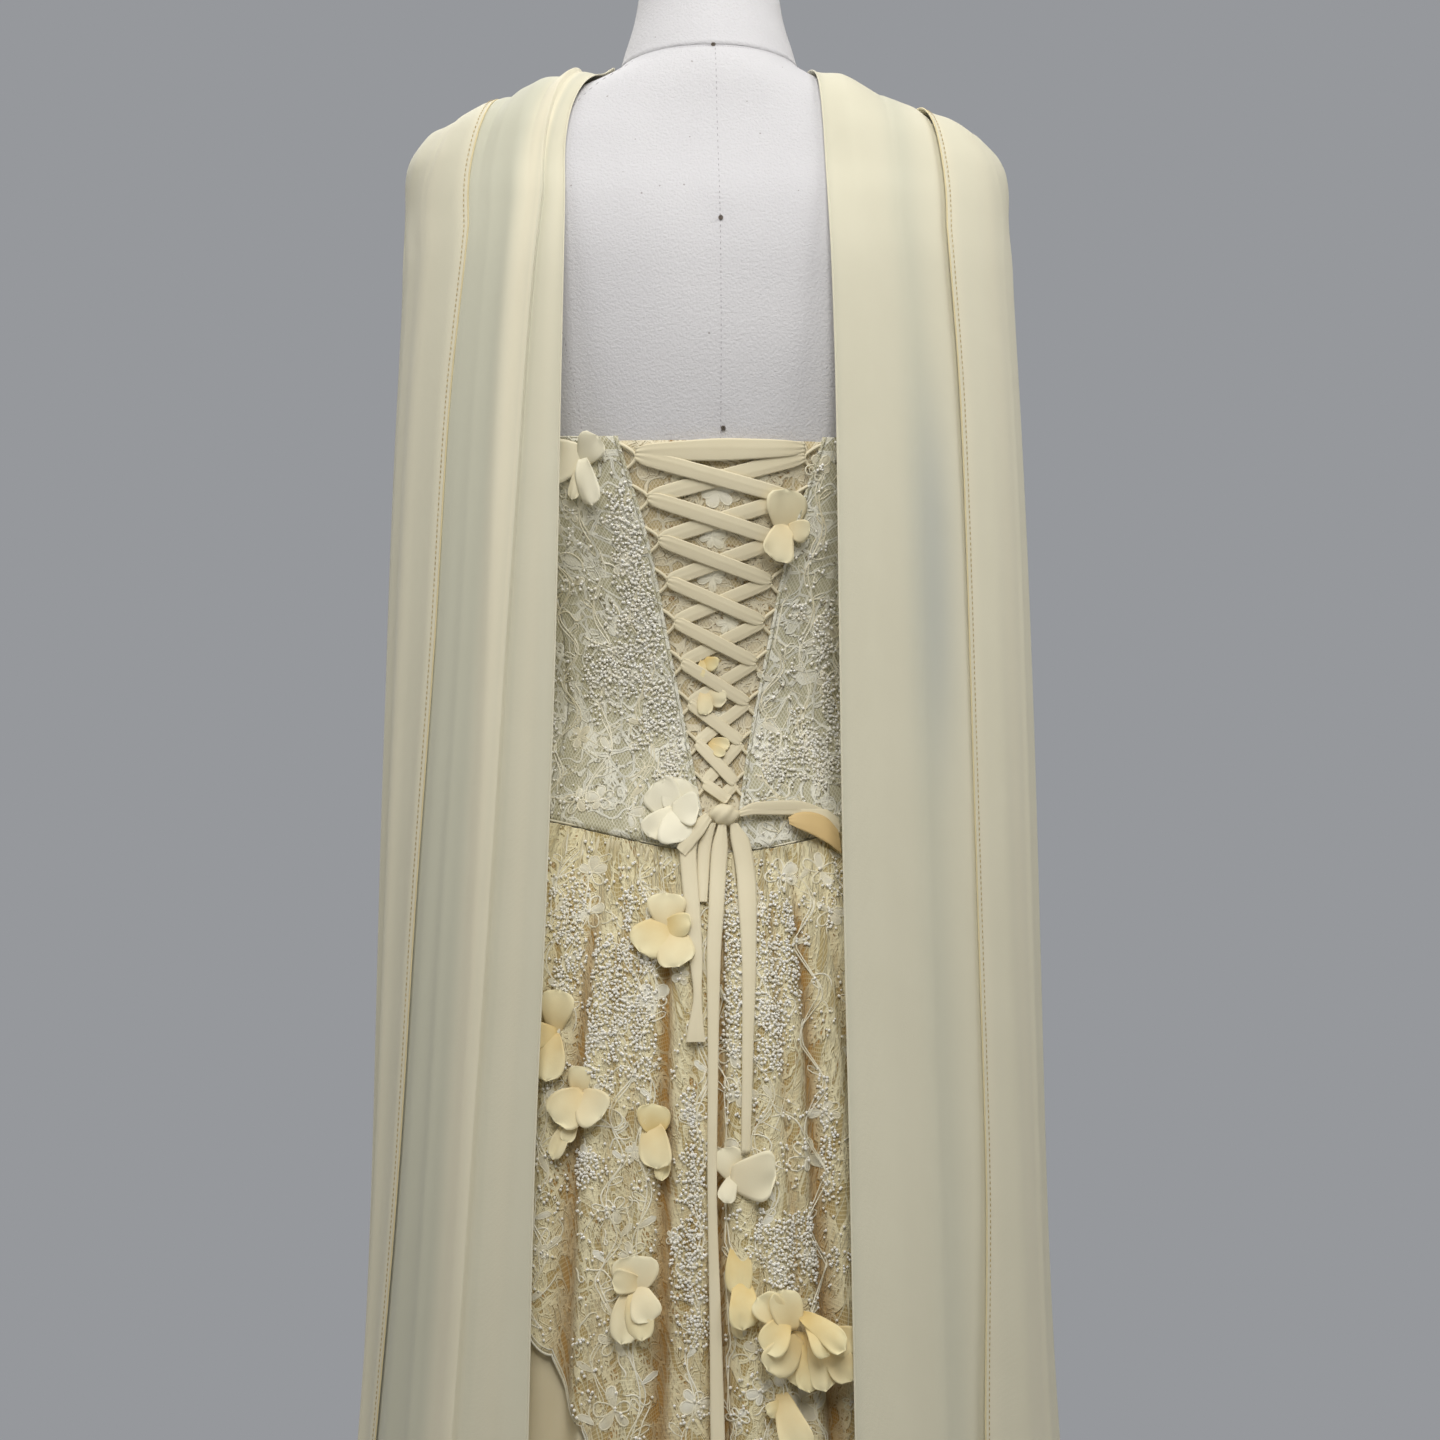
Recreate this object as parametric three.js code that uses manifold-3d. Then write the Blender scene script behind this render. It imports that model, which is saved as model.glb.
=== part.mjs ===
// A strapless lace ball gown laced up the back, with a floor-length shoulder cape, on a limbless dress form.
// Millimetres, +Z up. The gown faces -Y, its back is +Y and the wearer's left is +X. The floor is Z = 0.
import * as THREE from "three";
import { mergeVertices } from "three/addons/utils/BufferGeometryUtils.js";
import Module from "manifold-3d";

const wasm = await Module();
wasm.setup();

// ---- driving dimensions ----
const SEAM_GAP = 0.3; // between two pieces that are sewn together
const NECK_SEAM_Z = 1472;
const FORM_BOTTOM_Z = 762;
const NECK_TOP_Z = 1552;
const TILT_FROM_Z = 1400; // above this the form's rings tip towards the neck seam
const TILT_BACK = 0.16; // rise per mm towards the nape
const TILT_FRONT = 0.45; // fall per mm towards the throat
const TILT_NECK_TOP = 0.2;
const BASE_RADIUS = 185;
const BASE_HEIGHT = 22;
const POLE_RADIUS = 14;

const FORM_INSET = 1; // how far the form lies inside the surface that the cloth is worked out from
const FORM_ROW = 32; // height of one row of the form's facets
const NECK_CAP = { radius: 38, rim: 3, shoulder: 34, rise: 9.5 };
const MODESTY = { inner: 0.3, outer: 1.3 }; // offsets from that surface
const BODICE = { inner: 2.4, outer: 3.9 };
const BODICE_TOP_BACK_Z = 1233;
const WAIST_SEAM_BACK_Z = 979;
const WAIST_SEAM_SIDE_Z = 1001;
const WAIST_SEAM_FRONT_Z = 968;
const WAIST_RADIUS = 120;
const PRINCESS_SEAMS = { back: 60, side: 98, front: 149 }; // degrees from the centre back
const CUP = { swell: 15, degrees: 149, width: 19, z: 1218, height: 34 };
const TOP_EDGE = { rise: 34, degrees: 146, width: 24 }; // how the top edge rises over the cups
const EDGE_BAND = 6; // width of the band that carries the loops
const MODESTY_LAP = 14; // how far the modesty panel runs on beneath the back panels

const LACING_TOP_Z = 1221;
const LACING_STEP = 25.1;
const LACING_ROWS = 9;
const RIBBON_WIDTH = 10;
const RIBBON_THICK = 1;
const RIBBON_PINCH = 0.45; // a ribbon's width where a loop gathers it, as a share of the whole
const RIBBON_RIDE = 0.9; // how far a crossing ribbon rides over or under the mean
const LOOP_RADIUS = 0.9;
const LOOP_HALF_HEIGHT = 4.5;
const KNOT = { x: -2, z: 1002, lift: 2.2, halfWidth: 9, halfHeight: 6, halfDepth: 5 };

const UNDERSKIRT = { inner: -4.4, outer: -2.9, clearance: 6 }; // offsets from the skirt's envelope
const CLEARANCE_FADE = { from: 860, to: 990 }; // heights over which the underskirt comes up to the lace
const OVERSKIRT = { inner: -1.3, outer: 0, clearance: 0 };
const WAIST_RISE = 0.6; // makes up for the skirt's slope where it meets the bodice
const SKIRT_HEM_Z = 8;
const SKIRT_FOLDS = 18;
const FOLD_START_DEG = -5; // where one valley falls, from the centre back
const SKIRT_ROW_POWER = 1.6; // crowds the skirt's rows towards the waist
const LACE_HEM_MEAN_Z = 610;
const LACE_HEM_DROP = 110;

const CAPE_THICK = 1.2;
const CAPE_HEM_Z = 12;
const CAPE_FRONT_GAP = 2.5; // how far the cape's front straps stand off the chest
const CAPE_ROWS = { front: 5, turn: 5, fall: 6 };

// The form's horizontal rings: half width at the side, depth behind and in front of the axis, and how square.
const FORM_RINGS = [
  { z: 762, side: 150, back: 104, front: 98, power: 2.2 },
  { z: 800, side: 160, back: 112, front: 104, power: 2.2 },
  { z: 870, side: 169, back: 119, front: 108, power: 2.2 },
  { z: 930, side: 160, back: 112, front: 103, power: 2.2 },
  { z: 1000, side: 135, back: 96, front: 95, power: 2.15 },
  { z: 1070, side: 113, back: 81, front: 88, power: 2.1 },
  { z: 1130, side: 119, back: 86, front: 92, power: 2.1 },
  { z: 1190, side: 134, back: 97, front: 100, power: 2.15 },
  { z: 1240, side: 145, back: 104, front: 103, power: 2.2 },
  { z: 1290, side: 154, back: 107, front: 97, power: 2.25 },
  { z: 1340, side: 168, back: 104, front: 84, power: 2.3 },
  { z: 1380, side: 181, back: 95, front: 68, power: 2.35 },
  { z: 1404, side: 183, back: 84, front: 57, power: 2.4 },
  { z: 1419, side: 173, back: 77, front: 51, power: 2.4 },
  { z: 1436, side: 138, back: 70, front: 46, power: 2.3 },
  { z: 1452, side: 98, back: 65, front: 44, power: 2.2 },
  { z: 1464, side: 70, back: 60, front: 43, power: 2.1 },
  { z: 1472, side: 59, back: 55, front: 43, power: 2.0 },
  { z: 1484, side: 55, back: 50, front: 44, power: 2.0 },
  { z: 1508, side: 48, back: 41, front: 45, power: 2.0 },
  { z: 1530, side: 45, back: 36, front: 46, power: 2.0 },
  { z: 1552, side: 44, back: 33, front: 47, power: 2.0 },
];

// The skirt's outer envelope, which its folds cut into by up to foldDepth.
const SKIRT_RINGS = [
  { z: 0, side: 328, back: 340, front: 288, power: 2.0, foldDepth: 38 },
  { z: 200, side: 273, back: 278, front: 232, power: 2.0, foldDepth: 30 },
  { z: 400, side: 236, back: 226, front: 188, power: 2.05, foldDepth: 22 },
  { z: 600, side: 213, back: 187, front: 156, power: 2.1, foldDepth: 15 },
  { z: 740, side: 200, back: 162, front: 137, power: 2.15, foldDepth: 10 },
  { z: 870, side: 187, back: 139, front: 125, power: 2.2, foldDepth: 5 },
  { z: 940, side: 170, back: 122, front: 114, power: 2.2, foldDepth: 2 },
  { z: 975, side: 153, back: 109.5, front: 104, power: 2.2, foldDepth: 0.8 },
  { z: 1005, side: 140.3, back: 101, front: 101, power: 2.15, foldDepth: 0.4 },
];

// The surface that the cape hangs on: the form down to the shoulder blades, then a fall clear of the waist.
const CAPE_RINGS = [
  { z: 0, side: 334, back: 347, front: 294, power: 2.0 },
  { z: 200, side: 279, back: 285, front: 240, power: 2.0 },
  { z: 400, side: 241, back: 235, front: 200, power: 2.05 },
  { z: 600, side: 218, back: 200, front: 168, power: 2.1 },
  { z: 740, side: 211, back: 174, front: 150, power: 2.15 },
  { z: 900, side: 207, back: 147, front: 128, power: 2.2 },
  { z: 1070, side: 203, back: 128, front: 108, power: 2.25 },
  { z: 1230, side: 197, back: 118, front: 96, power: 2.3 },
  { z: 1340, side: 190, back: 109, front: 84, power: 2.3 },
  { z: 1380, side: 185, back: 97, front: 69, power: 2.35 },
  ...FORM_RINGS.filter((ring) => ring.z >= 1404 && ring.z <= NECK_SEAM_Z),
];

// Half the width of the laced opening in the back.
const OPENING = [
  { z: 960, half: 5 },
  { z: 1030, half: 15 },
  { z: 1100, half: 28 },
  { z: 1165, half: 41 },
  { z: 1235, half: 62 },
];

// Where the cape's edges fall: how far from the centre back, by height, on each side.
const CAPE_EDGES = {
  left: [
    { z: 0, inner: 176, hem: 308 },
    { z: 200, inner: 150, hem: 259 },
    { z: 400, inner: 131, hem: 227 },
    { z: 600, inner: 118, hem: 208 },
    { z: 790, inner: 113, hem: 195 },
    { z: 945, inner: 106, hem: 187 },
    { z: 1110, inner: 100, hem: 177 },
    { z: 1250, inner: 97, hem: 169 },
    { z: 1380, inner: 95, hem: 156 },
  ],
  right: [
    { z: 0, inner: 112, hem: 240 },
    { z: 600, inner: 72, hem: 150 },
    { z: 790, inner: 72, hem: 155 },
    { z: 945, inner: 71, hem: 153 },
    { z: 1110, inner: 70, hem: 150 },
    { z: 1250, inner: 69, hem: 146 },
    { z: 1380, inner: 66, hem: 137 },
  ],
};
const CAPE_UNDERLAP = 0.25; // the share of the outer layer that the inner one runs on beneath
const CAPE_SIDE_DEG = 87; // where the outer layer's free edge hangs, from the centre back
// Where the layers' edges cross the shoulder line, and how far they stand off it.
const RIDGE = { neck: 66, hem: 128, tip: 182, clearance: 4, softness: 70 };
const CAPE_ANCHOR = { inner: 162, middle: 140, outer: 123 }; // where they meet the bodice's top, in degrees
const PLEATS = { depth: 6, fromZ: 700, toZ: 1380 }; // the cape's pleats fade out towards the shoulder
const SHOULDER_FALL = 78; // height over which the cloth turns from the shoulder line to a vertical fall

// The waist tie's ribbons, by where their middle runs: x and z, lift off the waist's surface, and width.
const TIE_TAILS = {
  a: [
    { x: 17, z: 990, lift: 2.2, width: 6 },
    { x: 20, z: 978, lift: 2.4, width: 8 },
    { x: 17, z: 917, lift: 1.6, width: 7 },
    { x: 16.5, z: 896, lift: 2, width: 4.5 },
    { x: 17.5, z: 869, lift: 1.6, width: 12 },
  ],
  b: [
    { x: 5, z: 996.6, lift: 1.6, width: 3.6 },
    { x: 10, z: 984, lift: 1.2, width: 7 },
    { x: 12, z: 952, lift: 1.2, width: 4 },
  ],
  c: [
    { x: -0.5, z: 995.6, lift: 2.2, width: 4.5 },
    { x: 1.5, z: 978, lift: 2, width: 9.5 },
    { x: 6.2, z: 917, lift: 2, width: 8 },
    { x: 7.5, z: 860, lift: 2, width: 5 },
    { x: 9, z: 778, lift: 2, width: 4.5 },
    { x: 8, z: 704, lift: 2, width: 7 },
    { x: 7.5, z: 640, lift: 2, width: 10 },
    { x: 6, z: 560, lift: 2, width: 10 },
  ],
  d: [
    { x: -7.5, z: 996.6, lift: 1.8, width: 4.5 },
    { x: -12, z: 984, lift: 1.6, width: 9 },
    { x: -15, z: 940, lift: 1.4, width: 8 },
    { x: -13, z: 870, lift: 1.4, width: 6 },
    { x: -11, z: 803, lift: 1.4, width: 5 },
  ],
};
const TIE_TAB = [
  { x: 7.6, z: 1001, lift: 3, width: 6 },
  { x: 15, z: 992, lift: 4.6, width: 9 },
  { x: 24, z: 980, lift: 3.8, width: 9 },
];
const TIE_LOOP = [
  { x: -10.8, z: 1004, lift: 1.4, width: 5 },
  { x: -30, z: 1004, lift: 0.8, width: 7 },
  { x: -52, z: 1000, lift: 0.8, width: 7 },
  { x: -66, z: 993, lift: 1, width: 8 },
  { x: -70, z: 989, lift: 3.4, width: 9 },
  { x: -66, z: 987, lift: 6, width: 9 },
  { x: -50, z: 993, lift: 5.6, width: 7 },
  { x: -30, z: 998, lift: 4.6, width: 6 },
  { x: -10.8, z: 1000, lift: 3.6, width: 5 },
];

// Petal clusters: place, width across, number of petals, and where the first one points, in degrees from up.
const BACK_BLOSSOMS = [
  { x: 82, z: 1219, size: 34, petals: 4, turn: 100 },
  { x: -39, z: 1178, size: 28, petals: 3, turn: 200 },
  { x: 30, z: 1004, size: 28, petals: 4, turn: 60 },
  { x: 35, z: 936, size: 36, petals: 4, turn: 130 },
  { x: 102, z: 872, size: 24, petals: 3, turn: 190 },
  { x: 90, z: 829, size: 34, petals: 5, turn: 20 },
  { x: 43, z: 815, size: 26, petals: 3, turn: 170 },
  { x: -6, z: 790, size: 28, petals: 3, turn: 250 },
  { x: 55, z: 727, size: 32, petals: 4, turn: 175 },
  { x: -10, z: 716, size: 22, petals: 3, turn: 180 },
  { x: -41, z: 695, size: 48, petals: 6, turn: 150 },
  { x: -33, z: 652, size: 24, petals: 3, turn: 170 },
];
const FRONT_BLOSSOMS = [
  { x: 62, z: 1236, size: 32, petals: 4, turn: 30 },
  { x: -52, z: 1120, size: 30, petals: 4, turn: 210 },
  { x: 48, z: 930, size: 34, petals: 5, turn: 80 },
  { x: -60, z: 800, size: 34, petals: 4, turn: 150 },
];
const PETAL_THICK = 1;
const PETAL_CUP = 0.14; // height of a cluster's rim, as a share of its width

// ---- curves and surfaces ----
const radians = THREE.MathUtils.degToRad;
const lerp = THREE.MathUtils.lerp;
const smoothstep = THREE.MathUtils.smoothstep;

// Reads one column of a table at height z, with monotone cubic steps between its rows.
function column(rows, key, z) {
  const last = rows.length - 1;
  if (z <= rows[0].z) return rows[0][key];
  if (z >= rows[last].z) return rows[last][key];
  const i = rows.findIndex((row) => row.z > z) - 1;
  const slope = (j) => (rows[j + 1][key] - rows[j][key]) / (rows[j + 1].z - rows[j].z);
  const tangent = (j) => {
    if (j === 0 || j === last) return slope(Math.min(j, last - 1));
    const [before, after] = [slope(j - 1), slope(j)];
    return before * after <= 0 ? 0 : (2 * before * after) / (before + after);
  };
  const h = rows[i + 1].z - rows[i].z;
  const t = (z - rows[i].z) / h;
  const [a, b] = [rows[i][key], rows[i + 1][key]];
  return (
    a * (1 + 2 * t) * (1 - t) ** 2 +
    b * t * t * (3 - 2 * t) +
    h * t * (1 - t) * (tangent(i) * (1 - t) - tangent(i + 1) * t)
  );
}

// The soft swell of the two cups, in mm outwards.
function cupSwell(z, angle) {
  const away = Math.abs(angle) - radians(CUP.degrees);
  return CUP.swell * Math.exp(-((away / radians(CUP.width)) ** 2) - ((z - CUP.z) / CUP.height) ** 2);
}

// A point on a ring surface. The angle runs from the centre back (+Y) towards the wearer's left (+X).
function onRing(rings, angle, z, sink = 0, swell = 0) {
  const [s, c] = [Math.sin(angle), Math.cos(angle)];
  const power = column(rings, "power", z);
  const depth = column(rings, c >= 0 ? "back" : "front", z);
  const side = column(rings, "side", z);
  const r = (Math.abs(s / side) ** power + Math.abs(c / depth) ** power) ** (-1 / power) - sink + swell;
  const y = r * c;
  const seamTilt = (y > 0 ? TILT_BACK : TILT_FRONT) * smoothstep(z, TILT_FROM_Z, NECK_SEAM_Z);
  const tilt = lerp(seamTilt, TILT_NECK_TOP, smoothstep(z, NECK_SEAM_Z, NECK_TOP_Z));
  return new THREE.Vector3(r * s, y, z + tilt * y);
}

// The same surface moved out along its own normal.
function offsetPoint(surface, angle, z, offset) {
  const da = 0.004;
  const dz = 0.5;
  const along = surface(angle + da, z).sub(surface(angle - da, z));
  const up = surface(angle, z + dz).sub(surface(angle, z - dz));
  return surface(angle, z).addScaledVector(up.cross(along).normalize(), offset);
}

const formSurface = (angle, z) => onRing(FORM_RINGS, angle, z, 0, cupSwell(z, angle));
const waistSurface = (angle, z) => onRing(SKIRT_RINGS, angle, z);
const capeSurface = (angle, z) => onRing(CAPE_RINGS, angle, z);

// Soft gathers, uneven in depth: 0 on a ridge and up to 1 in a valley.
function foldShape(angle) {
  const wave = 0.5 + 0.5 * Math.cos(SKIRT_FOLDS * (angle - radians(FOLD_START_DEG)));
  return wave * (0.75 + 0.25 * Math.sin(5 * angle + 1));
}
const skirtSurface = (angle, z) =>
  onRing(SKIRT_RINGS, angle, z, column(SKIRT_RINGS, "foldDepth", z) * foldShape(angle));

// The angle at which a ring surface passes x, on its back half or its front half.
function angleAt(rings, x, z, half = "back") {
  const power = column(rings, "power", z);
  const share = Math.min(0.999, Math.abs(x) / column(rings, "side", z));
  const y = column(rings, half, z) * (1 - share ** power) ** (1 / power);
  return Math.atan2(x, half === "back" ? y : -y);
}

// The height at which the shoulder line passes x.
function ridgeHeight(x) {
  let [low, high] = [TILT_FROM_Z + 4, NECK_SEAM_Z];
  for (let i = 0; i < 30; i++) {
    const middle = (low + high) / 2;
    if (column(FORM_RINGS, "side", middle) > x) low = middle;
    else high = middle;
  }
  return low;
}

const waistSeamZ = (angle) =>
  Math.cos(angle) >= 0
    ? lerp(WAIST_SEAM_SIDE_Z, WAIST_SEAM_BACK_Z, Math.cos(angle) ** 3)
    : lerp(WAIST_SEAM_SIDE_Z, WAIST_SEAM_FRONT_Z, Math.cos(angle) ** 4);

// The top edge: level behind, rising over the cups to a sweetheart dip.
function bodiceTopZ(angle) {
  const degrees = Math.abs((angle * 180) / Math.PI);
  const cup = TOP_EDGE.rise * Math.exp(-(((degrees - TOP_EDGE.degrees) / TOP_EDGE.width) ** 2));
  return BODICE_TOP_BACK_Z + 3 * smoothstep(degrees, 30, 90) + cup;
}

const laceHemZ = (angle) => LACE_HEM_MEAN_Z - LACE_HEM_DROP * Math.cos(4 * angle);

// ---- solids ----
// A closed wall between two grids of points, given as functions of u and v from 0 to 1.
function wall(inner, outer, columns, rows, closed = false) {
  const across = closed ? columns : columns + 1;
  const positions = [];
  for (const side of [inner, outer])
    for (let j = 0; j <= rows; j++)
      for (let i = 0; i < across; i++) positions.push(...side(i / columns, j / rows).toArray());
  const layer = across * (rows + 1);
  const at = (k, i, j) => k * layer + j * across + (i % across);
  const index = [];
  const quad = (a, b, c, d) => index.push(a, b, c, a, c, d);
  for (let j = 0; j < rows; j++)
    for (let i = 0; i < columns; i++) {
      quad(at(1, i, j), at(1, i + 1, j), at(1, i + 1, j + 1), at(1, i, j + 1));
      quad(at(0, i, j), at(0, i, j + 1), at(0, i + 1, j + 1), at(0, i + 1, j));
    }
  for (let i = 0; i < columns; i++) {
    quad(at(0, i, 0), at(0, i + 1, 0), at(1, i + 1, 0), at(1, i, 0));
    quad(at(1, i, rows), at(1, i + 1, rows), at(0, i + 1, rows), at(0, i, rows));
  }
  if (!closed)
    for (let j = 0; j < rows; j++) {
      quad(at(1, 0, j), at(1, 0, j + 1), at(0, 0, j + 1), at(0, 0, j));
      quad(at(0, columns, j), at(0, columns, j + 1), at(1, columns, j + 1), at(1, columns, j));
    }
  return facingOut(positions, index);
}

function facingOut(positions, index) {
  const [a, b, c] = [new THREE.Vector3(), new THREE.Vector3(), new THREE.Vector3()];
  let volume = 0;
  for (let i = 0; i < index.length; i += 3) {
    [a, b, c].forEach((v, k) => v.fromArray(positions, 3 * index[i + k]));
    volume += a.dot(b.cross(c));
  }
  if (volume < 0) index.reverse();
  const geometry = new THREE.BufferGeometry();
  geometry.setAttribute("position", new THREE.Float32BufferAttribute(positions, 3));
  geometry.setIndex(index);
  geometry.computeVertexNormals();
  return geometry;
}

// A solid stack of rings, closed by a flat cap at each end.
function ringStack(surface, heights, columns) {
  const positions = [];
  for (const z of heights)
    for (let i = 0; i < columns; i++) positions.push(...surface((2 * Math.PI * i) / columns, z).toArray());
  const centre = (z) => [0, 0, z];
  positions.push(...centre(heights[0]), ...centre(heights[heights.length - 1]));
  const bottom = heights.length * columns;
  const index = [];
  for (let i = 0; i < columns; i++) {
    const next = (i + 1) % columns;
    for (let j = 0; j < heights.length - 1; j++) {
      const [p, q] = [j * columns, (j + 1) * columns];
      index.push(p + i, q + i, p + next, p + next, q + i, q + next);
    }
    const top = (heights.length - 1) * columns;
    index.push(bottom, i, next, bottom + 1, top + next, top + i);
  }
  return facingOut(positions, index);
}

function toSolid(geometry) {
  const bare = geometry.clone();
  bare.deleteAttribute("normal");
  bare.deleteAttribute("uv");
  const merged = mergeVertices(bare.index ? bare.toNonIndexed() : bare, 1e-3);
  return new wasm.Manifold(
    new wasm.Mesh({
      numProp: 3,
      vertProperties: merged.attributes.position.array,
      triVerts: new Uint32Array(merged.index.array),
    }),
  );
}

function joined(geometries) {
  const mesh = geometries.map(toSolid).reduce((a, b) => a.add(b)).getMesh();
  const geometry = new THREE.BufferGeometry();
  geometry.setAttribute("position", new THREE.BufferAttribute(mesh.vertProperties, 3));
  geometry.setIndex(new THREE.BufferAttribute(mesh.triVerts, 1));
  geometry.computeVertexNormals();
  return geometry;
}

// ---- materials ----
const material = (color, roughness, metalness = 0) =>
  new THREE.MeshStandardMaterial({ color, roughness, metalness });
const FINISH = {
  lace: material(0xdcd3b4, 0.8),
  lining: material(0xd8c79c, 0.45),
  chiffon: material(0xe6e0c2, 0.75),
  ribbon: material(0xe4d6b2, 0.55),
  petal: material(0xf0dfae, 0.6),
  canvas: material(0xe9e7ee, 0.85),
  paint: material(0xcfc9bb, 0.4),
};

const gown = new THREE.Group();
function add(name, geometry, finish) {
  const mesh = new THREE.Mesh(geometry, FINISH[finish]);
  mesh.name = name;
  gown.add(mesh);
}

// ---- dress form and stand ----
function addForm() {
  const surface = (angle, z) => onRing(FORM_RINGS, angle, z, FORM_INSET, 0.8 * cupSwell(z, angle));
  const torso = [];
  for (let z = FORM_BOTTOM_Z; z < TILT_FROM_Z - FORM_ROW; z += FORM_ROW) torso.push(z);
  const shoulder = torso[torso.length - 1] + FORM_ROW / 2;
  torso.push(...FORM_RINGS.map((ring) => ring.z).filter((z) => z >= shoulder && z <= NECK_SEAM_Z));
  const neck = FORM_RINGS.map((ring) => ring.z).filter((z) => z > NECK_SEAM_Z);
  add("form_torso", ringStack(surface, torso, 48), "canvas");
  add("form_neck", ringStack(surface, [NECK_SEAM_Z + SEAM_GAP, ...neck], 32), "canvas");
  const { radius, rim, shoulder: inset, rise } = NECK_CAP;
  const profile = [[0, 0], [radius, 0], [radius, rim], [inset, 2 * rim], [inset / 2, 0.95 * rise], [0, rise]];
  const cap = new THREE.LatheGeometry(profile.map(([r, h]) => new THREE.Vector2(r, h)), 32);
  const seat = surface(0, NECK_TOP_Z);
  const throat = surface(Math.PI, NECK_TOP_Z);
  const lean = Math.atan2(seat.z - throat.z, seat.y - throat.y);
  cap.rotateX(Math.PI / 2 + lean);
  cap.translate(0, (seat.y + throat.y) / 2, (seat.z + throat.z) / 2 + SEAM_GAP);
  add("form_neck_cap", cap, "canvas");
}

function addStand() {
  const [edge, collar] = [8, 24];
  const profile = [[0, 0], [BASE_RADIUS, 0], [BASE_RADIUS, edge], [BASE_RADIUS - 12, 1.5 * edge]];
  profile.push([collar, BASE_HEIGHT], [0, BASE_HEIGHT]);
  const base = new THREE.LatheGeometry(profile.map(([r, h]) => new THREE.Vector2(r, h)), 48);
  base.rotateX(Math.PI / 2);
  add("stand_base", base, "paint");
  const length = FORM_BOTTOM_Z - BASE_HEIGHT - 2 * SEAM_GAP;
  const pole = new THREE.CylinderGeometry(POLE_RADIUS, POLE_RADIUS, length, 24);
  pole.rotateX(Math.PI / 2);
  pole.translate(0, 0, BASE_HEIGHT + SEAM_GAP + length / 2);
  add("stand_pole", pole, "paint");
}

// ---- bodice ----
const openingAngle = (z, more = 0) => angleAt(FORM_RINGS, column(OPENING, "half", z) + more, z);

// A panel of the bodice between two seams, each an angle or a function of height.
function bodicePanel(from, to, columns, rows = 8) {
  const seam = (edge, z) => (typeof edge === "function" ? edge(z) : radians(edge));
  const point = (offset) => (u, v) => {
    const guess = lerp(WAIST_SEAM_BACK_Z, BODICE_TOP_BACK_Z, v);
    const rough = lerp(seam(from, guess), seam(to, guess), u);
    const z = lerp(waistSeamZ(rough), bodiceTopZ(rough), v);
    const gap = SEAM_GAP / 2 / WAIST_RADIUS;
    const angle = lerp(seam(from, z) + gap, seam(to, z) - gap, u);
    return offsetPoint(formSurface, angle, z, offset);
  };
  return wall(point(BODICE.inner), point(BODICE.outer), columns, rows);
}

function addBodice() {
  const { back, side, front } = PRINCESS_SEAMS;
  const sides = { left: 1, right: -1 };
  for (const [name, sign] of Object.entries(sides)) {
    const mirrored = (geometry) => (sign > 0 ? geometry : flipped(geometry));
    const bandEdge = (z) => openingAngle(z, EDGE_BAND);
    add(`bodice_back_${name}`, mirrored(bodicePanel(bandEdge, back, 5)), "lace");
    add(`bodice_side_${name}`, mirrored(bodicePanel(back, side, 3)), "lace");
    add(`bodice_cup_${name}`, mirrored(bodicePanel(side, front, 5)), "lace");
    add(`loop_band_${name}`, mirrored(loopBand(bandEdge)), "ribbon");
  }
  add("bodice_front", bodicePanel(front, 360 - front, 6), "lace");
  const panelHalf = (z) => column(OPENING, "half", z) + MODESTY_LAP;
  const panel = (offset) => (u, v) => {
    const z = lerp(WAIST_SEAM_BACK_Z + 4, BODICE_TOP_BACK_Z - 3, v);
    const edge = angleAt(FORM_RINGS, panelHalf(z), z);
    return offsetPoint(formSurface, lerp(-edge, edge, u), z, offset);
  };
  add("modesty_panel", wall(panel(MODESTY.inner), panel(MODESTY.outer), 6, 9), "lace");
}

function flipped(geometry) {
  const copy = geometry.clone().scale(-1, 1, 1);
  return facingOut([...copy.attributes.position.array], [...copy.index.array]);
}

const rowZ = (row) => LACING_TOP_Z - LACING_STEP * row;
const loopReach = (row) => lerp(7, 4.2, row / (LACING_ROWS - 1));

// The edge band of one back panel with its row of rouleau loops.
function loopBand(bandEdge) {
  const parts = [bodicePanel(openingAngle, bandEdge, 1)];
  const middle = (BODICE.inner + BODICE.outer) / 2 + 0.3;
  const corners = [0, 1, 2, 3].map((i) => (i * Math.PI) / 2);
  const section = new THREE.Shape(
    corners.map((a) => new THREE.Vector2(LOOP_RADIUS * Math.cos(a), LOOP_RADIUS * Math.sin(a))),
  );
  for (let row = 0; row < LACING_ROWS; row++) {
    const route = [-1, -0.8, 0, 0.8, 1].map((t) => {
      const z = rowZ(row) + LOOP_HALF_HEIGHT * t;
      const inward = Math.abs(t) === 1 ? -2 : loopReach(row) * (1 - Math.abs(t) ** 3);
      const angle = angleAt(FORM_RINGS, column(OPENING, "half", z) - inward, z);
      return offsetPoint(formSurface, angle, z, middle);
    });
    const extrudePath = new THREE.CatmullRomCurve3(route);
    parts.push(new THREE.ExtrudeGeometry(section, { extrudePath, steps: 4, bevelEnabled: false }));
  }
  return joined(parts);
}

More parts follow.
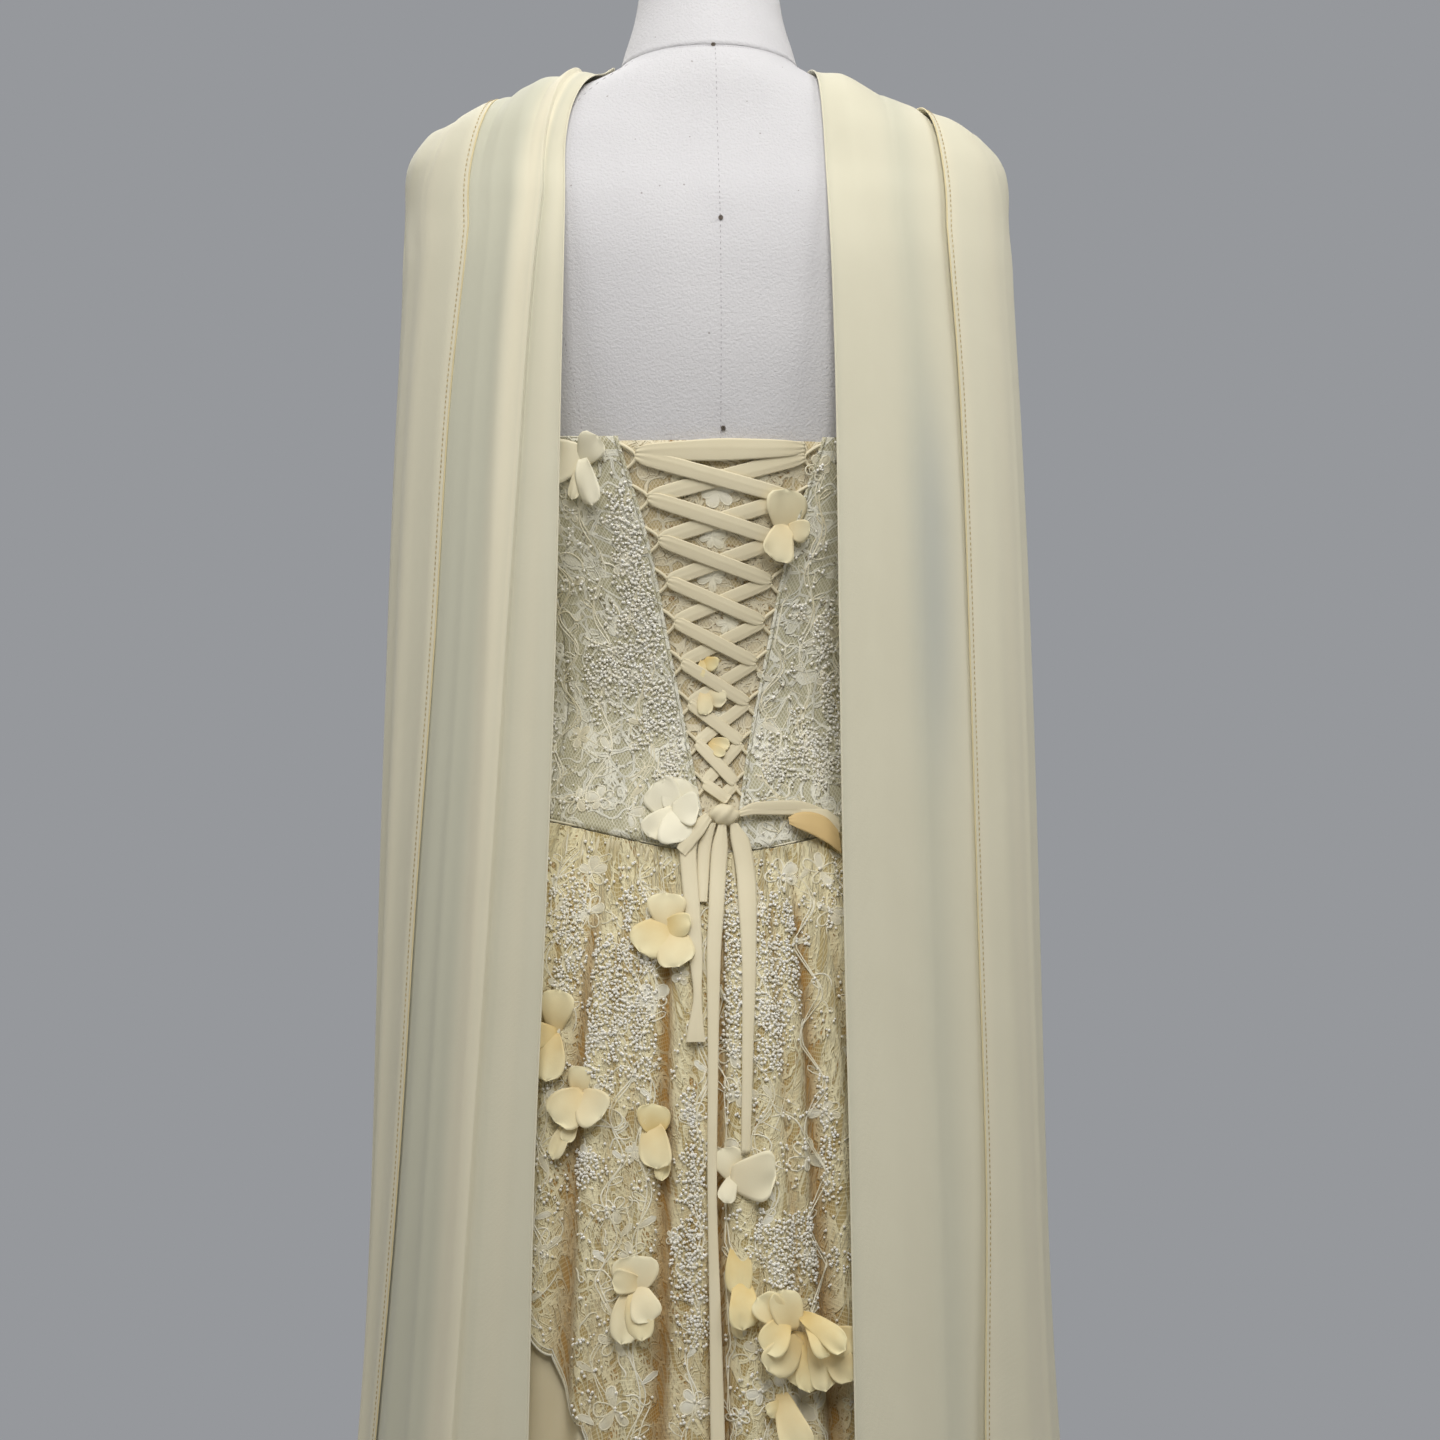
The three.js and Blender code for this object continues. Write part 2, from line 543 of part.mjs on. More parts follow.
// ---- ribbons ----
// Lays a ribbon on the back. Rows give its middle line as x, z and lift off the surface, and its width.
// across is the way its width runs, in x and z.
function ribbon(surface, rings, rows, across, steps) {
  const middle = new THREE.CatmullRomCurve3(rows.map(({ x, z, lift }) => new THREE.Vector3(x, z, lift)));
  const side = new THREE.Vector3(across.x, across.z, 0).normalize();
  const point = (sign) => (u, v) => {
    const place = u * (rows.length - 1);
    const i = Math.min(Math.floor(place), rows.length - 2);
    const width = lerp(rows[i].width, rows[i + 1].width, place - i);
    const face = middle.getTangent(u).cross(side).normalize();
    const at = middle.getPoint(u).addScaledVector(side, (v - 0.5) * width);
    at.addScaledVector(face, (sign * RIBBON_THICK) / 2);
    return offsetPoint(surface, angleAt(rings, at.x, at.y), at.y, at.z);
  };
  return wall(point(-1), point(1), steps, 1);
}

// One crossing stretch of the lacing, which rides over or under the others at its middle.
function lacingStretch(start, end, rise, endRise = 0) {
  const level = BODICE.inner + 1.8;
  const place = (t, lift, width) => ({ x: lerp(start.x, end.x, t), z: lerp(start.z, end.z, t), lift, width });
  const narrow = RIBBON_PINCH * RIBBON_WIDTH;
  const rows = [
    place(0, level, narrow),
    place(0.25, level + 0.75 * rise, RIBBON_WIDTH),
    place(0.5, level + rise, RIBBON_WIDTH),
    place(0.75, level + 0.75 * rise, RIBBON_WIDTH),
    place(1, level + endRise, narrow),
  ];
  return ribbon(formSurface, FORM_RINGS, rows, { x: start.z - end.z, z: end.x - start.x }, 4);
}

function addLacing() {
  const loopTip = (row, side) => {
    const z = rowZ(row);
    const x = column(OPENING, "half", z) - loopReach(row) - LOOP_RADIUS - SEAM_GAP - 1;
    return { x: side * x, z };
  };
  for (const [name, first] of [["a", 1], ["b", -1]]) {
    const parts = [];
    for (let row = 0; row < LACING_ROWS; row++) {
      const side = row % 2 === 0 ? first : -first;
      const rise = side * RIBBON_RIDE;
      const knotTop = { x: KNOT.x - side * 3, z: KNOT.z + KNOT.halfHeight + 2 };
      const isLast = row + 1 === LACING_ROWS;
      const next = isLast ? knotTop : loopTip(row + 1, -side);
      parts.push(lacingStretch(loopTip(row, side), next, rise, isLast ? rise : 0));
    }
    if (first > 0) {
      const [left, right] = [loopTip(0, 1), loopTip(0, -1)];
      left.z += 1;
      right.z += 5.2;
      parts.push(lacingStretch(left, right, 0));
    }
    add(`lacing_ribbon_${name}`, joined(parts), "ribbon");
  }
}

function addWaistTie() {
  const onWaist = (rows, across, steps) => ribbon(waistSurface, SKIRT_RINGS, rows, across, steps);
  const knot = new THREE.SphereGeometry(1, 10, 6);
  knot.scale(KNOT.halfWidth, KNOT.halfDepth, KNOT.halfHeight);
  const seat = offsetPoint(waistSurface, angleAt(SKIRT_RINGS, KNOT.x, KNOT.z), KNOT.z, KNOT.lift);
  knot.translate(seat.x, seat.y, seat.z);
  add("tie_knot", knot, "ribbon");
  for (const [name, rows] of Object.entries(TIE_TAILS))
    add(`tie_tail_${name}`, onWaist(rows, { x: 1, z: 0 }, 2 * rows.length), "ribbon");
  add("tie_tab", onWaist(TIE_TAB, { x: 0.7, z: 0.7 }, 4), "ribbon");
  add("tie_loop", onWaist(TIE_LOOP, { x: 0, z: 1 }, 16), "ribbon");
}

// ---- skirts ----
function skirtPiece(layer, from, to, columns, rows, topZ, hemZ) {
  const point = (offset) => (u, v) => {
    const gap = SEAM_GAP / 2 / WAIST_RADIUS;
    const angle = lerp(radians(from) + gap, radians(to) - gap, u);
    const z = lerp(hemZ(angle), topZ(angle), 1 - (1 - v) ** SKIRT_ROW_POWER);
    const clearance = layer.clearance * (1 - smoothstep(z, CLEARANCE_FADE.from, CLEARANCE_FADE.to));
    return offsetPoint(skirtSurface, angle, z, offset - clearance);
  };
  return wall(point(layer.inner), point(layer.outer), columns, rows);
}

function addSkirts() {
  const top = (angle) => waistSeamZ(angle) + WAIST_RISE;
  const floor = () => SKIRT_HEM_Z;
  add("underskirt_back", skirtPiece(UNDERSKIRT, -90, 90, 36, 6, top, floor), "lining");
  add("underskirt_front", skirtPiece(UNDERSKIRT, 90, 270, 36, 6, top, floor), "lining");
  add("lace_skirt_back_left", skirtPiece(OVERSKIRT, 0, 90, 18, 4, top, laceHemZ), "lace");
  add("lace_skirt_back_right", skirtPiece(OVERSKIRT, -90, 0, 18, 4, top, laceHemZ), "lace");
  add("lace_skirt_front", skirtPiece(OVERSKIRT, 90, 270, 36, 4, top, laceHemZ), "lace");
}

// ---- cape ----
// One layer of the cape: from the bodice's top edge, over the shoulder line, to the hem.
// edge(z, t) gives the angle of thread t at height z where it falls free.
function capeLayer(sign, edge, ridge, anchor, offset, columns) {
  const { front, turn, fall } = CAPE_ROWS;
  const quarter = Math.PI / 2;
  const point = (extra) => (u, v) => {
    const step = v * (front + turn + fall);
    const crossing = ridgeHeight(lerp(ridge[0], ridge[1], u));
    const low = crossing - SHOULDER_FALL;
    let angle;
    let z;
    if (step <= front) {
      const bend = (1 - step / front) ** 1.5 * quarter;
      const foot = radians(lerp(anchor[0], anchor[1], u));
      angle = lerp(quarter, foot, Math.sin(bend));
      z = lerp(crossing, bodiceTopZ(foot) + 1, 1 - Math.cos(bend));
    } else if (step <= front + turn) {
      const bend = ((step - front) / turn) ** 1.5 * quarter;
      angle = lerp(quarter, edge(low, u), Math.sin(bend));
      z = lerp(crossing, low, 1 - Math.cos(bend));
    } else {
      z = lerp(low, CAPE_HEM_Z, ((step - front - turn) / fall) ** 1.5);
      angle = edge(z, u);
    }
    const standOff = CAPE_FRONT_GAP * smoothstep(front - step, 0, 1);
    const clearance = standOff + RIDGE.clearance * Math.exp(-(((crossing - z) / RIDGE.softness) ** 2));
    const level = clearance + offset(u, z) + extra;
    const surface = step < front ? formSurface : capeSurface;
    return offsetPoint(surface, angle, z, level).multiply(new THREE.Vector3(sign, 1, 1));
  };
  return wall(point(0), point(CAPE_THICK), columns, front + turn + fall);
}

function addCape() {
  for (const [name, sign] of [["left", 1], ["right", -1]]) {
    const edges = CAPE_EDGES[name];
    const free = radians(CAPE_SIDE_DEG);
    const inner = (z) => angleAt(CAPE_RINGS, column(edges, "inner", z), z);
    const hem = (z) => angleAt(CAPE_RINGS, column(edges, "hem", z), z);
    const underEdge = (z, t) => lerp(inner(z), lerp(hem(z), free, CAPE_UNDERLAP), t);
    const outerEdge = (z, t) => lerp(hem(z), free, t);
    const upwards = (z) => smoothstep(z, PLEATS.fromZ, PLEATS.toZ);
    const grow = (z) => lerp(PLEATS.depth, 1, upwards(z));
    const pleats = (t) => 0.5 - 0.5 * Math.cos(4 * Math.PI * THREE.MathUtils.clamp(t, 0, 1));
    const under = (t, z) => 0.7 + grow(z) * pleats(t / 0.6);
    const lap = (t, z) => lerp(3.8, 2, upwards(z)) * (1 - smoothstep(t, 0.4, 0.65));
    const over = (t, z) => 0.7 + lap(t, z) + grow(z) * pleats((t - 0.3) / 0.7);
    const overlap = lerp(RIDGE.hem, RIDGE.tip, CAPE_UNDERLAP);
    const anchor = lerp(CAPE_ANCHOR.middle, CAPE_ANCHOR.outer, CAPE_UNDERLAP);
    const innerEnds = [CAPE_ANCHOR.inner, anchor];
    const innerLayer = capeLayer(sign, underEdge, [RIDGE.neck, overlap], innerEnds, under, 6);
    const outerEnds = [CAPE_ANCHOR.middle, CAPE_ANCHOR.outer];
    const outerLayer = capeLayer(sign, outerEdge, [RIDGE.hem, RIDGE.tip], outerEnds, over, 5);
    add(`cape_${name}_inner`, innerLayer, "chiffon");
    add(`cape_${name}_outer`, outerLayer, "chiffon");
  }
}

// ---- petal clusters ----
// One thin sheet with a lobe for each petal, cupped away from the cloth. It sits as low as the cloth lets it:
// rays down through its points find how far the cloth stands up under it.
function blossom({ x, z, size, petals, turn }, half, cloth) {
  const [surface, rings] = z > WAIST_SEAM_SIDE_Z ? [formSurface, FORM_RINGS] : [waistSurface, SKIRT_RINGS];
  const angle = angleAt(rings, x, z, half);
  const centre = surface(angle, z);
  const normal = offsetPoint(surface, angle, z, 1).sub(centre);
  const right = new THREE.Vector3(0, 0, 1).cross(normal).normalize();
  const up = normal.clone().cross(right);
  const place = (u, v, height) => {
    const bearing = 2 * Math.PI * u + radians(turn);
    const lobe = 0.84 + 0.16 * Math.cos(petals * 2 * Math.PI * u);
    const r = lerp(1, (size / 2) * lobe, v);
    return centre
      .clone()
      .addScaledVector(right, r * Math.sin(bearing))
      .addScaledVector(up, r * Math.cos(bearing))
      .addScaledVector(normal, height + PETAL_CUP * size * v * v);
  };
  const columns = 4 * petals;
  const reach = 60;
  const caster = new THREE.Raycaster();
  let lift = -reach;
  for (let i = 0; i < columns; i++)
    for (const v of [0, 0.25, 0.5, 0.75, 1]) {
      caster.set(place(i / columns, v, reach), normal.clone().negate());
      const [hit] = caster.intersectObjects(cloth, false);
      if (hit) lift = Math.max(lift, reach - hit.distance);
    }
  lift += SEAM_GAP;
  return wall((u, v) => place(u, v, lift), (u, v) => place(u, v, lift + PETAL_THICK), 2 * petals, 1, true);
}

function addBlossoms() {
  const cloth = gown.children.filter(({ name }) => !name.startsWith("cape") && !name.startsWith("form"));
  cloth.forEach((mesh) => mesh.updateMatrixWorld());
  BACK_BLOSSOMS.forEach((row, i) => add(`blossom_back_${i + 1}`, blossom(row, "back", cloth), "petal"));
  FRONT_BLOSSOMS.forEach((row, i) => add(`blossom_front_${i + 1}`, blossom(row, "front", cloth), "petal"));
}

addForm();
addStand();
addBodice();
addLacing();
addSkirts();
addWaistTie();
addCape();
addBlossoms();

export default gown;
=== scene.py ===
"""The looks of a laced ball gown with a shoulder cape, shown on a limbless dress form.

Lengths are millimetres, as in the frame's own source, and become metres where a mesh is made. A place on the
body is an angle in radians, from the centre back (+Y) towards the wearer's left (+X), and a height z.
"""

import math

import bmesh
import bpy
import numpy as np
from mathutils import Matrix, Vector


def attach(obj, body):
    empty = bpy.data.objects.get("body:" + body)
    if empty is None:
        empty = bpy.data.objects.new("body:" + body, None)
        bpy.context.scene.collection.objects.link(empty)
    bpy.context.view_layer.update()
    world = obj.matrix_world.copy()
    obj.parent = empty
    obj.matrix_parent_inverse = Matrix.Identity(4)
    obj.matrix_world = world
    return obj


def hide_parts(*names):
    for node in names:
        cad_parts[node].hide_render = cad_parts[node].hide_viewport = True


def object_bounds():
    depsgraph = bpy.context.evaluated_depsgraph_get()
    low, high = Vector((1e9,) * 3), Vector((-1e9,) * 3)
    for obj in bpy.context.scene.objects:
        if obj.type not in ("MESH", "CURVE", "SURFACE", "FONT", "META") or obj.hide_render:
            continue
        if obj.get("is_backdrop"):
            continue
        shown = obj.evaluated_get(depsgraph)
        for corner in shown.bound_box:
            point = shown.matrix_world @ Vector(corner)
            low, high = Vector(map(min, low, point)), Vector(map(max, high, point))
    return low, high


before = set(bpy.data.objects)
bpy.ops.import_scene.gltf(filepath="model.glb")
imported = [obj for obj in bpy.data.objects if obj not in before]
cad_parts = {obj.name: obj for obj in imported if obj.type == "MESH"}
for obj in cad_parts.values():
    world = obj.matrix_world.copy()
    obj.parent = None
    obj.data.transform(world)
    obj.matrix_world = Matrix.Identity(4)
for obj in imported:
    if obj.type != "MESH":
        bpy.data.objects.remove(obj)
CAD_BOX = [list(corner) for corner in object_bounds()]
MM = 0.001
SIDES = {"left": 1, "right": -1}

# ---- driving dimensions, as the frame has them ----
SEAM_GAP = 0.3
NECK_SEAM_Z = 1472
FORM_BOTTOM_Z = 762
NECK_TOP_Z = 1552
TILT_FROM_Z = 1400
TILT_BACK, TILT_FRONT, TILT_NECK_TOP = 0.16, 0.45, 0.2
FORM_INSET = 1
CUP = {"swell": 15, "degrees": 149, "width": 19, "z": 1218, "height": 34}
TOP_EDGE = {"rise": 34, "degrees": 146, "width": 24}
MODESTY_FACE = 1.3
MODESTY_LAP = 14
BODICE_FACE = 3.9
BODICE_THICK = 1.2
BODICE_TOP_BACK_Z = 1233
WAIST_BACK_Z, WAIST_SIDE_Z, WAIST_FRONT_Z = 979, 1001, 968
WAIST_RISE = 0.6
PRINCESS_SEAMS = {"back": 60, "side": 98, "front": 149}
EDGE_BAND = 6
PIPING = 2.4
LACING = {"top": 1221, "step": 25.1, "rows": 9, "width": 10, "pinch": 0.52, "ride": 0.9}
LOOP = {"radius": 1.05, "half": 8.5}
KNOT = {"x": -2, "z": 1002, "lift": 2.2, "width": 9, "height": 6, "depth": 5}
SKIRT_HEM_Z = 8
LACE_HEM_MEAN_Z, LACE_HEM_DROP = 610, 110
LACE_HEM_DIP = {"depth": 24, "degrees": 34, "width": 12}
SCALLOPS = {"count": 50, "height": 8}
CAPE_THICK = 1.2
CAPE_HEM_Z = 12
CAPE_UNDERLAP = 0.25
CAPE_SIDE_DEG = 87
RIDGE = {"neck": 61, "hem": 128, "tip": 182, "clearance": 4, "softness": 70}
CAPE_ANCHOR = {"inner": 162, "middle": 140, "outer": 123}
SHOULDER_FALL = 78

# ---- dimensions of the looks alone ----
BODY_RADIUS = 130  # turns an angle into a distance round the body where a rough one will do
FORM_ROW = 8.0  # the height of the form's rows, which is halved over the shoulders
PIN = {"radius": 1.5, "sunk": 1.5, "proud": 1.6, "places": [(1.1, 1472), (-0.3, 1366), (-1.5, 1237.5)]}
DIMPLE = {"depth": 0.9, "width": 7, "heights": (1366, 1237)}
NEEDLE_MARK = {"radius": 0.15, "pitch": 3.6, "length": 1.6, "lift": 0.02}
FORM_SEAMS = (0, 44, -44, 90, -90, 142, -142, 180)  # degrees round the form
GATHERS = {"count": 96, "height": 1.3, "none_z": 915, "full_z": 970}
THICK = {"panel": 0.9, "skirt": 0.8, "ribbon": 0.7, "chiffon": 0.6, "petal": 0.25}
HEM_STITCH_PITCH, HEM_STITCH_LENGTH = 3.3, 2.1
OUTER_HEM = 3.2
CORD_RADIUS = {
    "vine": 0.46, "petal": 0.52, "leaf": 0.38, "loose": 0.5, "pane": 0.28, "sprig": 0.4, "edge": 0.9,
}


# ---- small mathematics ----
def mix(a, b, t):
    """a where t is 0, b where t is 1, and in between on a straight line."""
    return a + (b - a) * t


def smooth(low, high, x):
    """0 below low, 1 above high, and a soft S between them."""
    t = np.clip((x - low) / (high - low), 0, 1)
    return t * t * (3 - 2 * t)


def bell(x, middle, width):
    """A Gauss curve, 1 at its middle."""
    return np.exp(-(((x - middle) / width) ** 2))


def unit(vectors):
    """Each vector, made 1 long."""
    return vectors / np.maximum(np.linalg.norm(vectors, axis=-1, keepdims=True), 1e-9)


def wrapped(angle):
    """The same angle, between minus pi and pi."""
    return (angle + math.pi) % (2 * math.pi) - math.pi


def monotone(xs, ys):
    """A cubic through the points that never overshoots: a slope is the harmonic mean of its neighbours'."""
    slope = np.diff(ys) / np.diff(xs)
    product = slope[:-1] * slope[1:]
    total = slope[:-1] + slope[1:]
    middle = np.where(product > 0, 2 * product / np.where(product > 0, total, 1), 0)
    tangent = np.concatenate([slope[:1], middle, slope[-1:]])

    def read(x):
        x = np.clip(x, xs[0], xs[-1])
        i = np.clip(np.searchsorted(xs, x, side="right") - 1, 0, len(xs) - 2)
        h = xs[i + 1] - xs[i]
        t = (x - xs[i]) / h
        value = ys[i] * (1 + 2 * t) * (1 - t) ** 2 + ys[i + 1] * t * t * (3 - 2 * t)
        return value + h * t * (1 - t) * (tangent[i] * (1 - t) - tangent[i + 1] * t)

    return read


def table(columns, rows):
    """Each named column of the rows as a smooth function of the first column."""
    data = np.array(rows, float)
    return {name: monotone(data[:, 0], data[:, i]) for i, name in enumerate(columns.split()) if i}


def speckle(u, v, cell, seed):
    """Soft random patches from 0 to 1: random values on a lattice a cell apart, blended between them."""
    size = 64
    lattice = np.random.default_rng(seed).random((size, size))
    a, b = u / cell, v / cell
    i, j = np.floor(a).astype(int), np.floor(b).astype(int)
    s, t = smooth(0, 1, a - i), smooth(0, 1, b - j)
    corner = lambda p, q: lattice[(i + p) % size, (j + q) % size]
    return mix(mix(corner(0, 0), corner(1, 0), s), mix(corner(0, 1), corner(1, 1), s), t)


# ---- the surfaces that carry the cloth ----
# A ring's row is its height, its half width at the sides, its depth behind and in front, and the power.
SHOULDER_ROWS = [
    (1404, 183, 84, 57, 2.4), (1419, 173, 77, 51, 2.4), (1436, 138, 70, 46, 2.3), (1452, 98, 65, 44, 2.2),
    (1464, 70, 60, 43, 2.1), (1472, 59, 55, 43, 2.0),
]
FORM_RINGS = table("z side back front power", [
    (762, 150, 104, 98, 2.2), (800, 160, 112, 104, 2.2), (870, 169, 119, 108, 2.2), (930, 160, 112, 103, 2.2),
    (1000, 135, 96, 95, 2.15), (1070, 113, 81, 88, 2.1), (1130, 119, 86, 92, 2.1), (1190, 134, 97, 100, 2.15),
    (1240, 145, 104, 103, 2.2), (1290, 154, 107, 97, 2.25), (1340, 168, 104, 84, 2.3),
    (1380, 181, 95, 68, 2.35), *SHOULDER_ROWS, (1484, 55, 50, 44, 2.0), (1508, 48, 41, 45, 2.0),
    (1530, 45, 36, 46, 2.0), (1552, 44, 33, 47, 2.0),
])
# The last column is how deep the skirt's folds go.
SKIRT_RINGS = table("z side back front power fold", [
    (0, 328, 340, 288, 2.0, 40), (200, 273, 278, 232, 2.0, 33), (400, 236, 226, 188, 2.05, 25),
    (600, 213, 187, 156, 2.1, 18), (740, 200, 162, 137, 2.15, 13), (870, 187, 139, 125, 2.2, 8),
    (940, 170, 122, 114, 2.2, 4), (975, 153, 109.5, 104, 2.2, 1.6), (1005, 140.3, 101, 101, 2.15, 0.8),
])
CAPE_RINGS = table("z side back front power", [
    (0, 334, 347, 294, 2.0), (200, 279, 285, 240, 2.0), (400, 241, 235, 200, 2.05), (600, 218, 200, 168, 2.1),
    (740, 211, 174, 150, 2.15), (900, 207, 147, 128, 2.2), (1070, 203, 128, 108, 2.25),
    (1230, 197, 118, 96, 2.3), (1340, 190, 109, 84, 2.3), (1380, 185, 97, 69, 2.35), *SHOULDER_ROWS,
])
OPENING = table("z half", [(960, 5), (1030, 15), (1100, 28), (1165, 41), (1235, 62)])
CAPE_EDGES = {
    "left": table("z inner hem", [
        (0, 176, 306), (200, 150, 257), (400, 131, 225), (600, 118, 205), (790, 113, 189), (945, 106, 180),
        (1110, 100, 169), (1250, 97, 161), (1380, 94, 147),
    ]),
    "right": table("z inner hem", [
        (0, 112, 240), (600, 72, 150), (790, 72, 155), (945, 71, 153), (1110, 70, 150), (1250, 69, 146),
        (1380, 66, 137),
    ]),
}


class Surface:
    """A surface round the body: at each height a superellipse of half width side and depth back or front.
    shape(angle, z) is added to its radius, and it leans with the shoulders near the neck."""

    def __init__(self, rings, shape=None):
        self.rings = rings
        self.shape = shape or (lambda angle, z: 0)

    def point(self, angle, z):
        s, c = np.sin(angle), np.cos(angle)
        depth = np.where(c >= 0, self.rings["back"](z), self.rings["front"](z))
        power = self.rings["power"](z)
        radius = (np.abs(s / self.rings["side"](z)) ** power + np.abs(c / depth) ** power) ** (-1 / power)
        radius = radius + self.shape(angle, z)
        y = radius * c
        seam_tilt = np.where(y > 0, TILT_BACK, TILT_FRONT) * smooth(TILT_FROM_Z, NECK_SEAM_Z, z)
        tilt = mix(seam_tilt, TILT_NECK_TOP, smooth(NECK_SEAM_Z, NECK_TOP_Z, z))
        return np.stack([radius * s, y, z + tilt * y], axis=-1)

    def at(self, angle, z):
        """Points of the surface and the outward normals there, from small steps round it and up it."""
        angle, z = np.broadcast_arrays(np.asarray(angle, float), np.asarray(z, float))
        along = self.point(angle + 0.004, z) - self.point(angle - 0.004, z)
        up = self.point(angle, z + 0.5) - self.point(angle, z - 0.5)
        return self.point(angle, z), unit(np.cross(up, along))

    def lifted(self, angle, z, lift):
        """Points that stand off the surface by the lift, along its normals."""
        point, normal = self.at(angle, z)
        return point + normal * np.broadcast_to(lift, point.shape[:-1])[..., None]

    def angle_at(self, x, z, half="back"):
        """The angle at which the surface's plain superellipse passes x."""
        power = self.rings["power"](z)
        share = np.minimum(0.999, np.abs(x) / self.rings["side"](z))
        y = self.rings[half](z) * (1 - share**power) ** (1 / power)
        return np.arctan2(x, y if half == "back" else -y)


def cup_swell(angle, z):
    """The soft swell of the two cups."""
    away = np.abs(wrapped(angle)) - math.radians(CUP["degrees"])
    across = (away / math.radians(CUP["width"])) ** 2
    return CUP["swell"] * np.exp(-across - ((z - CUP["z"]) / CUP["height"]) ** 2)


# The skirt's folds behind: degrees from the centre back, half width in degrees, and depth as a share.
BACK_FOLDS = [
    (-58, 3.2, 0.8), (-49, 2.0, 0.5), (-40, 2.8, 0.9), (-30, 1.8, 0.5), (-21.5, 2.3, 1.0), (-14, 1.6, 0.6),
    (-7, 1.2, 0.35), (1, 2.1, 1.1), (8, 1.4, 0.4), (15.2, 2.4, 1.0), (22, 1.5, 0.45), (27.5, 1.4, 0.4),
    (35, 2.6, 0.9), (43, 1.7, 0.5), (52, 3.0, 0.85), (61, 2.0, 0.5),
]


def hidden_folds(first=70.0, last=294):
    """The same kind of folds for the sides and the front, with the same unevenness."""
    chance = np.random.default_rng(5)
    folds, degrees = [], first
    while degrees < last:
        folds.append((degrees, chance.uniform(1.5, 3.2), chance.uniform(0.4, 1.0)))
        degrees += chance.uniform(6.5, 11.5)
    return folds


SKIRT_FOLDS = BACK_FOLDS + hidden_folds()


def fold_valleys(angle, z):
    """How far into a fold a point lies, from 0 on a ridge to about 1: narrow troughs with round shoulders,
    1 / (1 + (distance / width)²)^1.5, that wander a little and spread towards the hem."""
    degrees = np.degrees(angle)
    drop = smooth(985, 300, z)
    valley = np.zeros(np.broadcast(angle, z).shape)
    for i, (middle, width, share) in enumerate(SKIRT_FOLDS):
        wander = 1.2 * np.sin(z / (110 + 13 * (i % 5)) + 2.1 * i) * smooth(960, 700, z)
        away = (degrees - middle - wander + 180) % 360 - 180
        valley = valley + share / (1 + (away / (width * (1 + 0.8 * drop))) ** 2) ** 1.5
    return np.minimum(valley, 1.25)


def skirt_shape(angle, z):
    """Folds, and the small uneven gathers of the waist seam, a wave of slow drift, which die out below it."""
    folds = -SKIRT_RINGS["fold"](z) * fold_valleys(angle, z)
    wave = np.cos(GATHERS["count"] * angle + 3 * np.sin(5 * angle)) * (0.6 + 0.4 * np.sin(17 * angle))
    return folds + GATHERS["height"] * (wave - 1) * smooth(GATHERS["none_z"], GATHERS["full_z"], z)


FORM = Surface(FORM_RINGS, cup_swell)
PADDED_FORM = Surface(FORM_RINGS, lambda angle, z: 0.8 * cup_swell(angle, z) - FORM_INSET)
WAIST = Surface(SKIRT_RINGS)
SKIRT = Surface(SKIRT_RINGS, skirt_shape)
CAPE = Surface(CAPE_RINGS)


def waist_seam_z(angle):
    """The waist seam: high at the sides, and lower behind and in front by powers of the cosine."""
    c = np.cos(angle)
    front = mix(WAIST_SIDE_Z, WAIST_FRONT_Z, c**4)
    return np.where(c >= 0, mix(WAIST_SIDE_Z, WAIST_BACK_Z, c**3), front)


def bodice_top_z(angle):
    """The top edge: level behind, rising over the cups to a sweetheart dip."""
    degrees = np.abs((np.degrees(angle) + 180) % 360 - 180)
    cup = TOP_EDGE["rise"] * bell(degrees, TOP_EDGE["degrees"], TOP_EDGE["width"])
    return BODICE_TOP_BACK_Z + 3 * smooth(30, 90, degrees) + cup


def lace_hem_z(angle):
    """Four long points, edged with scallops about 25 mm wide, and one deeper dip behind on the left."""
    scallop = SCALLOPS["height"] * (1 - np.abs(np.sin(SCALLOPS["count"] / 2 * angle)) ** 0.7)
    dip = LACE_HEM_DIP["depth"] * bell(np.degrees(angle), LACE_HEM_DIP["degrees"], LACE_HEM_DIP["width"])
    return LACE_HEM_MEAN_Z - LACE_HEM_DROP * np.cos(4 * angle) + scallop - dip


# ---- meshes ----
def grid_faces(rows, columns, closed=False):
    """Quads between the points of a grid, row by row. A closed grid's last column meets its first."""
    across = columns if closed else columns + 1
    j, i = np.meshgrid(np.arange(rows), np.arange(columns), indexing="ij")
    here, right = j * across + i, j * across + (i + 1) % across
    return np.stack([here, here + across, right + across, right], axis=-1).reshape(-1, 4)


def repeated(faces, copies, points_each):
    """The faces of one shape, once for each copy of its points."""
    return (faces[None] + np.arange(copies)[:, None, None] * points_each).reshape(-1, faces.shape[1])


def facing_out(points, faces):
    """Turns every face round if the faces look towards the body's axis more than away from it."""
    a, b, c = (points[faces[:, k]] for k in range(3))
    normal = np.cross(b - a, c - a)
    away = (normal[:, :2] * a[:, :2]).sum()
    return faces if away > 0 else faces[:, ::-1]


